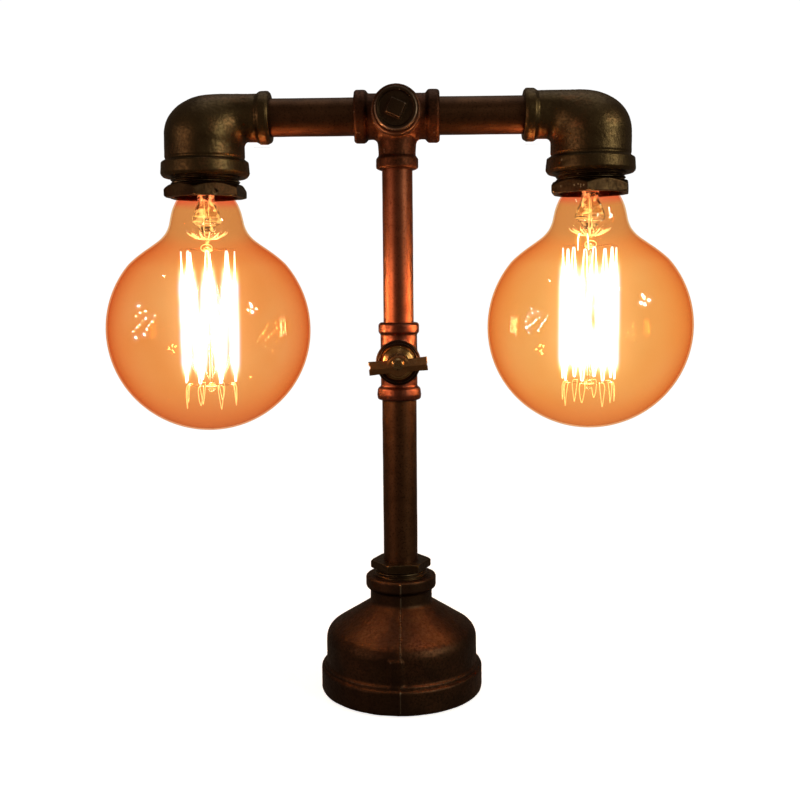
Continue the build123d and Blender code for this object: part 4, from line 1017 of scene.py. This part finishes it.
start = math.asin(48.0 / bulb_r)
arc = np.array([[bulb_r * math.sin(t), -bulb_r * math.cos(t)] for t in np.linspace(0.004, math.pi - start, 120)])
neck = spline(neck_line, (-neck_up, 48.0), (0, 1))
outer_line = np.concatenate([arc, neck[1:], [[12.5, 89.0], [12.5, bulb_c - 34.0]]])
tangent = np.gradient(outer_line, axis=0)
tangent /= np.linalg.norm(tangent, axis=1)[:, None]
inner_line = outer_line + np.stack([-tangent[:, 1], tangent[:, 0]], 1) * glass_t
inner_line[:, 0] = np.maximum(inner_line[:, 0], 0.2)
shell = np.concatenate([outer_line, inner_line[::-1]])
for side, word in ((-1, "left"), (1, "right")):
    o = spun(word + "_globe", shell, (side * head_x, 0, arm_z - bulb_c), "z", 144, wobble=0.0, sharp=None)
    stands_for(o, word + "_bulb_glass", word + "_bulb", amber[word])

# ---- what is inside each globe: flare and rod of glass, crown, hooks, hairpins and the zigzag filament
hooks = 8


def inner_parts(side, word, first):
    cx, body = side * head_x, word + "_bulb"

    def at(r, h, deg):
        a = math.radians(deg)
        return (cx + r * math.cos(a), r * math.sin(a), arm_z - h)

    flare = rounded([(11.0, 34.4, 0), (11.0, 35.8, 0.5), (7.4, 40.5, 2.0), (5.0, 46.0, 2.0), (5.2, 50.5, 2.0), (7.6, 55.5, 1.5), (9.2, 60.5, 1.0), (8.8, 62.4, 0.7), (5.4, 64.4, 1.5), (4.6, 66.5, 1.5), (1.3, 69.0, 1.0),
                     (1.2, 70.6, 0.3), (2.4, 71.2, 0.5), (2.4, 72.8, 0.5), (1.2, 73.6, 0.3), (1.2, 76.8, 0.3), (2.8, 77.5, 0.7), (2.8, 79.5, 0.7), (1.2, 80.3, 0.4),
                     (1.2, 160.0, 0.4), (2.6, 161.2, 0.8), (2.6, 164.4, 0.8), (1.0, 165.9, 0.5), (0.05, 166.3, 0), (0.05, 60.6, 0), (5.6, 60.2, 1.0), (7.6, 59.6, 0.6), (6.4, 55.9, 1.5), (4.1, 51.0, 2.0), (4.0, 46.2, 2.0), (6.5, 40.5, 2.0), (10.2, 34.4, 0)], 4)
    ob = spun(word + "_mount_glass", dense(flare, 4.0), (cx, 0, arm_z), "down", 40, sharp=None)
    stands_for(ob, word + "_glass_mount", body, clear_mount)

    wires, fine = [], []
    crown = []
    for k in range(13):
        a = 360 / 13 * k + 12
        crown.append(bowed([at(2.2, 72.3, a), at(6.0, 71.8, a), at(11.0, 69.4, a), at(12.6, 67.7 + 0.5 * (k % 3), a)], 1.2, 3))
    loop = [(cx + 3.5 * math.cos(0.25 * t), -3.2, arm_z - 77.6 + 2.3 * math.sin(0.25 * t)) for t in range(27)]
    for k in range(hooks):
        a = 360 / hooks * k + first
        fine.append(bowed([at(2.6, 78.5, a), at(fil_r - 2.0, 78.1, a), at(fil_r + 0.1, 77.9, a), at(fil_r + 0.6, 78.9, a), at(fil_r - 0.1, 79.3, a)], 0.7, 3))
        b = a + 180 / hooks
        fine.append(bowed([at(2.4, 162.8, b), at(fil_r - 5.0, 161.6, b), at(fil_r - 3.0, 161.3, b)], 1.2, 3))
        wires.append(bowed([at(fil_r - 3.4, 161.3, b - 1.5), at(fil_r - 1.0, 161.0, b - 5.5), at(fil_r - 0.2, 164.0, b - 6.5), at(fil_r, 170.0, b - 4.0), at(fil_r - 0.2, 176.2 - 2.6 * (k % 2), b),
                            at(fil_r, 170.0, b + 3.0), at(fil_r - 0.2, 164.0, b + 6.5), at(fil_r - 1.0, 161.0, b + 5.5), at(fil_r - 3.4, 161.3, b + 1.5)], 1.6, 4))
    lead_ins = []
    for near, top, far, end in ((234, 13.5, 234, 234.5), (250, 8.0, 256, 258.5)) if side > 0 else ():
        lead_ins.append(bowed([at(top, 71.3, near), at(15.5, 74.0, far), at(fil_r - 0.4, fil_top + 3.0, end)], 1.5, 3))
    for a in (70, 250):
        wires.append(bowed([at(2.6, 49.0, a), at(2.2, 56.0, a), at(2.6, 63.0, a), at(3.4, 67.5, a), at(2.2, 71.6, a)], 2.0, 3))
    for r, h in ((2.55, 72.0), (2.95, 78.5), (3.6, 162.6)):
        ring = [at(r, h, 15 * k) for k in range(24)]
        wires.append(np.array(ring + ring[:2]))
    ob = tubes(word + "_crown", crown, 0.36, 8)
    stands_for(ob, word + "_support_wires", body, wire_painted_glow)
    wires.append(np.array(loop))
    if lead_ins:
        ob = tubes(word + "_lead_in_wires", lead_ins, 0.45, 8)
        stands_for(ob, word + "_support_wires", body, lead_in_painted_glow)
    ob = tubes(word + "_loop_and_hairpins", wires, 0.27, 8)
    stands_for(ob, word + "_support_wires", body, wire_painted_glow)
    ob = tubes(word + "_upper_hooks", fine, 0.11, 8)
    stands_for(ob, word + "_support_wires", body, wire_dim)

    step, pts = 360.0 / hooks, []
    for k in range(hooks):
        a = step * k + first
        if k:
            pts += [at(fil_r, fil_bot, a - step / 2 - 2.4), at(fil_r, fil_bot, a - step / 2 + 2.4)]
        else:
            pts.append(at(fil_r, fil_bot, a - step / 2 + 2.8))
        pts += [at(fil_r, fil_top + 1.2, a - 2.4), at(fil_r, fil_top + 1.2, a + 2.4)]
    pts.append(at(fil_r, fil_bot, step * (hooks - 1) + first + step / 2 - 2.8))
    line, along = resample(bowed(pts, 0.7, 4), 0.20)
    ob = tubes(word + "_filament_coil", [(line, along)], 0.42, 8, ripple=0.16, pitch=0.8)
    stands_for(ob, word + "_filament", body, hot)


inner_parts(-1, "left", 10.0)
inner_parts(1, "right", 0.0)

# ---- CAD nodes that stay, with their finishes
finish = {"base_plate": sheet, "base_plate_screws": zinc, "foot_pad": rubber, "cord_grommet": rubber, "terminal_block": plastic, "terminal_screws": zinc,
          "block_screw": zinc, "earth_screw": zinc, "earth_nut": brass, "switch_body": phenolic, "switch_contacts": brass, "switch_nut": bronze,
          "switch_spindle": zinc, "handle_screw": bronze, "base_lead": rubber, "stem_lead": rubber, "head_leads": rubber, "splice_block": plastic}
for w in ("left_", "right_"):
    finish.update({w + "lamp_holder": porcelain, w + "screw_shell": brass, w + "holder_contact": brass, w + "holder_screws": zinc, w + "lamp_lead": rubber,
                   w + "bulb_cap": brass, w + "cap_insulator": vitrite, w + "cap_contact": solder})
for name, m in finish.items():
    dress(nodes[name], m)

# ================================================================== floor, light and camera
def stage_material(name, tone, glow):
    """Matt pale floor that brightens to plain white away from the lamp."""
    m, nt, bsdf, _ = new_material(name)
    vec = coords(nt)
    n = noise(nt, vec, 3.0, 2.0, 0.5)
    bsdf.inputs["Roughness"].default_value = 0.9
    bsdf.inputs["Specular IOR Level"].default_value = 0.0
    bsdf.inputs["Emission Color"].default_value = (1, 1, 1, 1)
    dist = put(nt, "ShaderNodeMapRange", {"Value": put(nt, "ShaderNodeVectorMath", {"Vector": vec}, operation="LENGTH").outputs["Value"]})
    dist.inputs["From Min"].default_value, dist.inputs["From Max"].default_value = 0.35, 1.3
    dist.inputs["To Min"].default_value, dist.inputs["To Max"].default_value = glow, 1.03
    nt.links.new(dist.outputs[0], bsdf.inputs["Emission Strength"])
    far = put(nt, "ShaderNodeMapRange", {"Value": dist.outputs[0]})
    far.inputs["From Min"].default_value, far.inputs["From Max"].default_value = glow, 1.03
    plain = ramp(nt, n, [(0.3, tuple(c * 0.99 for c in tone)), (0.7, tone)])
    nt.links.new(mixc(nt, far.outputs[0], plain, (0, 0, 0)), bsdf.inputs["Base Color"])
    return m


rings, spokes = np.concatenate([np.linspace(0.02, 1.4, 24), [3.0, 10.0, 40.0]]), 96
turn = np.arange(spokes) * 2 * math.pi / spokes
v = np.array([(1000 * r * math.cos(t), 1000 * r * math.sin(t), 0) for r in rings for t in turn])
q = [(i * spokes + j, (i + 1) * spokes + j, (i + 1) * spokes + (j + 1) % spokes, i * spokes + (j + 1) % spokes) for i in range(len(rings) - 1) for j in range(spokes)]
q += [(k, k + 1, spokes - 2 - k, spokes - 1 - k) for k in range(spokes // 2 - 1)]
floor = mesh_object("studio_floor", v, np.array(q))
dress(floor, stage_material("studio_pale", (0.93, 0.93, 0.93), 0.84))
floor.visible_glossy = False
floor.visible_diffuse = False

world = bpy.data.worlds.new("studio_world")
scene.world = world
world.use_nodes = True
wt = world.node_tree
bg = wt.nodes["Background"]
bg.inputs["Color"].default_value = (1.0, 0.74, 0.52, 1)
bg.inputs["Strength"].default_value = 0.115
# the room lights the lamp dimly, and is seen as plain white
seen, ray, pick = wt.nodes.new("ShaderNodeBackground"), wt.nodes.new("ShaderNodeLightPath"), wt.nodes.new("ShaderNodeMixShader")
seen.inputs["Color"].default_value = (1, 1, 1, 1)
seen.inputs["Strength"].default_value = 1.03
through = wt.nodes.new("ShaderNodeMath")
through.operation = "MAXIMUM"
wt.links.new(ray.outputs["Is Camera Ray"], through.inputs[0])
wt.links.new(ray.outputs["Is Transmission Ray"], through.inputs[1])
wt.links.new(through.outputs[0], pick.inputs[0])
wt.links.new(bg.outputs[0], pick.inputs[1])
wt.links.new(seen.outputs[0], pick.inputs[2])
wt.links.new(pick.outputs[0], wt.nodes["World Output"].inputs["Surface"])


def softbox(name, at, aim, size, power, colour=(1, 1, 1)):
    l = bpy.data.lights.new(name, "AREA")
    l.shape, l.size, l.size_y = "RECTANGLE", size[0], size[1]
    l.energy, l.color = power, colour
    ob = bpy.data.objects.new(name, l)
    scene.collection.objects.link(ob)
    ob.location = at
    ob.rotation_mode = "QUATERNION"
    ob.rotation_quaternion = (Vector(aim) - Vector(at)).to_track_quat("-Z", "Y")
    return ob


softbox("key_softbox", (1.35, -0.95, 0.80), (0, 0, 0.22), (0.7, 0.9), 9.0, (1.0, 0.93, 0.70))
softbox("fill_softbox", (-1.35, -1.05, 0.40), (0, 0, 0.26), (0.9, 0.9), 4.2, (1.0, 0.60, 0.42))
softbox("top_softbox", (0.1, 0.3, 1.9), (0, 0, 0.1), (1.4, 1.4), 4.0, (1.0, 0.94, 0.86))

def lamp_point(name, at, power, radius, colour, glossy=True):
    l = bpy.data.lights.new(name, "POINT")
    l.energy, l.color, l.shadow_soft_size = power, colour, radius
    ob = bpy.data.objects.new(name, l)
    scene.collection.objects.link(ob)
    ob.location = at
    ob.visible_camera = False
    ob.visible_transmission = False
    ob.visible_glossy = glossy
    return ob


# the strands light the scene themselves; three small lamps for each stand for what the flare and the glass scatter
for side, word, out, power in ((-1, "left", -0.084, 0.47), (1, "right", -0.055, 0.30)):
    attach(lamp_point(word + "_neck_glow", (side * head_x / 1000, 0, (arm_z - 58.0) / 1000), 0.16, 0.004, (1.0, 0.48, 0.20), False), word + "_bulb")
    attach(lamp_point(word + "_globe_glow", (side * head_x / 1000, out, (arm_z - bulb_c + 8.0) / 1000), power, 0.018, (1.0, 0.46, 0.20)), word + "_bulb")
    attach(lamp_point(word + "_arm_glow", (side * head_x / 1000, 0.030, (arm_z - bulb_c + 16.0) / 1000), 0.44, 0.030, (1.0, 0.38, 0.20)), word + "_bulb")

# small room lamps, far off, for the sparks on the glass, and three for those on the metal
def linked(name, ends, lit):
    """Collection for light linking: only the objects with these name endings are lit, or all but them."""
    group = bpy.data.collections.new(name)
    for o in scene.objects:
        if o.type == "MESH" and o.name.endswith(ends):
            group.objects.link(o)
    if not lit:
        for entry in group.collection_objects:
            entry.light_linking.link_state = "EXCLUDE"
    return group


glass_ends = ("_globe", "_mount_glass")
on_glass, off_glass = linked("sparks_on_glass", glass_ends, True), linked("lights_off_glass", glass_ends, False)
off_heads = linked("glow_off_lamp_heads", glass_ends + ("_elbow_casting", "_hex_bushing", "_arm_pipe"), False)
on_arms = linked("glow_on_arms", ("_arm_pipe", "_elbow_casting"), True)
cluster = [(-1.50, -0.42, 0.30), (-1.42, -0.58, 0.44), (-1.54, -0.30, 0.52), (-1.36, -0.66, 0.16), (-1.52, -0.46, 0.62), (-1.30, -0.78, 0.36), (-1.46, -0.36, 0.10), (-1.20, -0.90, 0.60),
           (-1.47, -0.52, 0.36), (-1.40, -0.70, 0.52), (-1.55, -0.24, 0.38), (-1.34, -0.74, 0.28), (-1.50, -0.34, 0.74), (-1.44, -0.62, 0.70), (-1.25, -0.86, 0.46), (-1.52, -0.28, 0.22)]
window = [(1.25, -0.72, 0.90), (1.36, -0.62, 0.84), (1.18, -0.84, 0.80), (1.29, -0.75, 1.02), (1.14, -0.70, 0.70), (-1.28, -0.45, 1.77), (0.70, -1.05, 1.25), (0.55, -1.60, 1.10)]
for k, place in enumerate(window + cluster):
    big = k < len(window)
    o = lamp_point("room_spark_%02d" % k, place, 7.5 if big else 3.6, 0.040 if big else 0.014 + 0.004 * (k % 3), (1.0, 0.96, 0.88))
    o.light_linking.receiver_collection = on_glass
for k, place in enumerate(((1.25, -0.72, 0.90), (-1.42, -0.58, 0.60), (0.10, -1.60, 1.10))):
    o = lamp_point("metal_spark_%02d" % k, place, 0.8, 0.024, (1.0, 0.93, 0.84))
    o.light_linking.receiver_collection = off_glass
for o in scene.objects:
    if o.type == "LIGHT":
        if o.name.endswith("_softbox"):
            o.light_linking.receiver_collection = off_glass
        elif o.name.endswith("_globe_glow"):
            o.light_linking.receiver_collection = off_heads
        elif o.name.endswith("_arm_glow"):
            o.light_linking.receiver_collection = on_arms

# camera at the photograph's place
tilt, yaw, roll = math.radians(6.31), math.radians(1.1), math.radians(-0.52)
d = Vector((-math.sin(yaw) * math.cos(tilt), math.cos(yaw) * math.cos(tilt), -math.sin(tilt)))
right = Vector((math.cos(yaw), math.sin(yaw), 0))
up = right.cross(d)
r2 = right * math.cos(roll) + up * math.sin(roll)
u2 = -right * math.sin(roll) + up * math.cos(roll)
at = Vector((0.0004, 0, 0.184)) - d * 0.6215
cam_data = bpy.data.cameras.new("camera")
cam_data.sensor_fit, cam_data.sensor_width, cam_data.lens = "HORIZONTAL", 36.0, 45.0
cam_data.clip_start, cam_data.clip_end = 0.01, 50.0
cam = bpy.data.objects.new("camera", cam_data)
scene.collection.objects.link(cam)
cam.matrix_world = Matrix(((r2.x, u2.x, -d.x, at.x), (r2.y, u2.y, -d.y, at.y), (r2.z, u2.z, -d.z, at.z), (0, 0, 0, 1)))
scene.camera = cam
scene.view_settings.view_transform = "Standard"

# the lens bloom of the overexposed strands: a tight white core and a wide warm veil
scene.use_nodes = True
ct = scene.node_tree
ct.nodes.clear()
layers, comp = ct.nodes.new("CompositorNodeRLayers"), ct.nodes.new("CompositorNodeComposite")


def blend2(kind, a, b):
    n = ct.nodes.new("CompositorNodeMixRGB")
    n.blend_type = kind
    n.inputs[0].default_value = 1.0
    for sock, v in ((n.inputs[1], a), (n.inputs[2], b)):
        if isinstance(v, bpy.types.NodeSocket):
            ct.links.new(v, sock)
        else:
            sock.default_value = (*v, 1)
    return n.outputs[0]


def soft(x, size):
    n = ct.nodes.new("CompositorNodeBlur")
    n.filter_type = "GAUSS"
    n.inputs["Size"].default_value = (size, size)
    ct.links.new(x, n.inputs["Image"])
    return n.outputs["Image"]


strands = blend2("DARKEN", blend2("LIGHTEN", blend2("SUBTRACT", layers.outputs["Image"], (2, 2, 2)), (0, 0, 0)), (7, 7, 7))
core = blend2("MULTIPLY", soft(strands, 6), (0.30, 0.56, 0.84))
veil = blend2("MULTIPLY", soft(strands, 40), (0.10, 0.055, 0.025))
ct.links.new(blend2("ADD", blend2("ADD", layers.outputs["Image"], core), veil), comp.inputs["Image"])
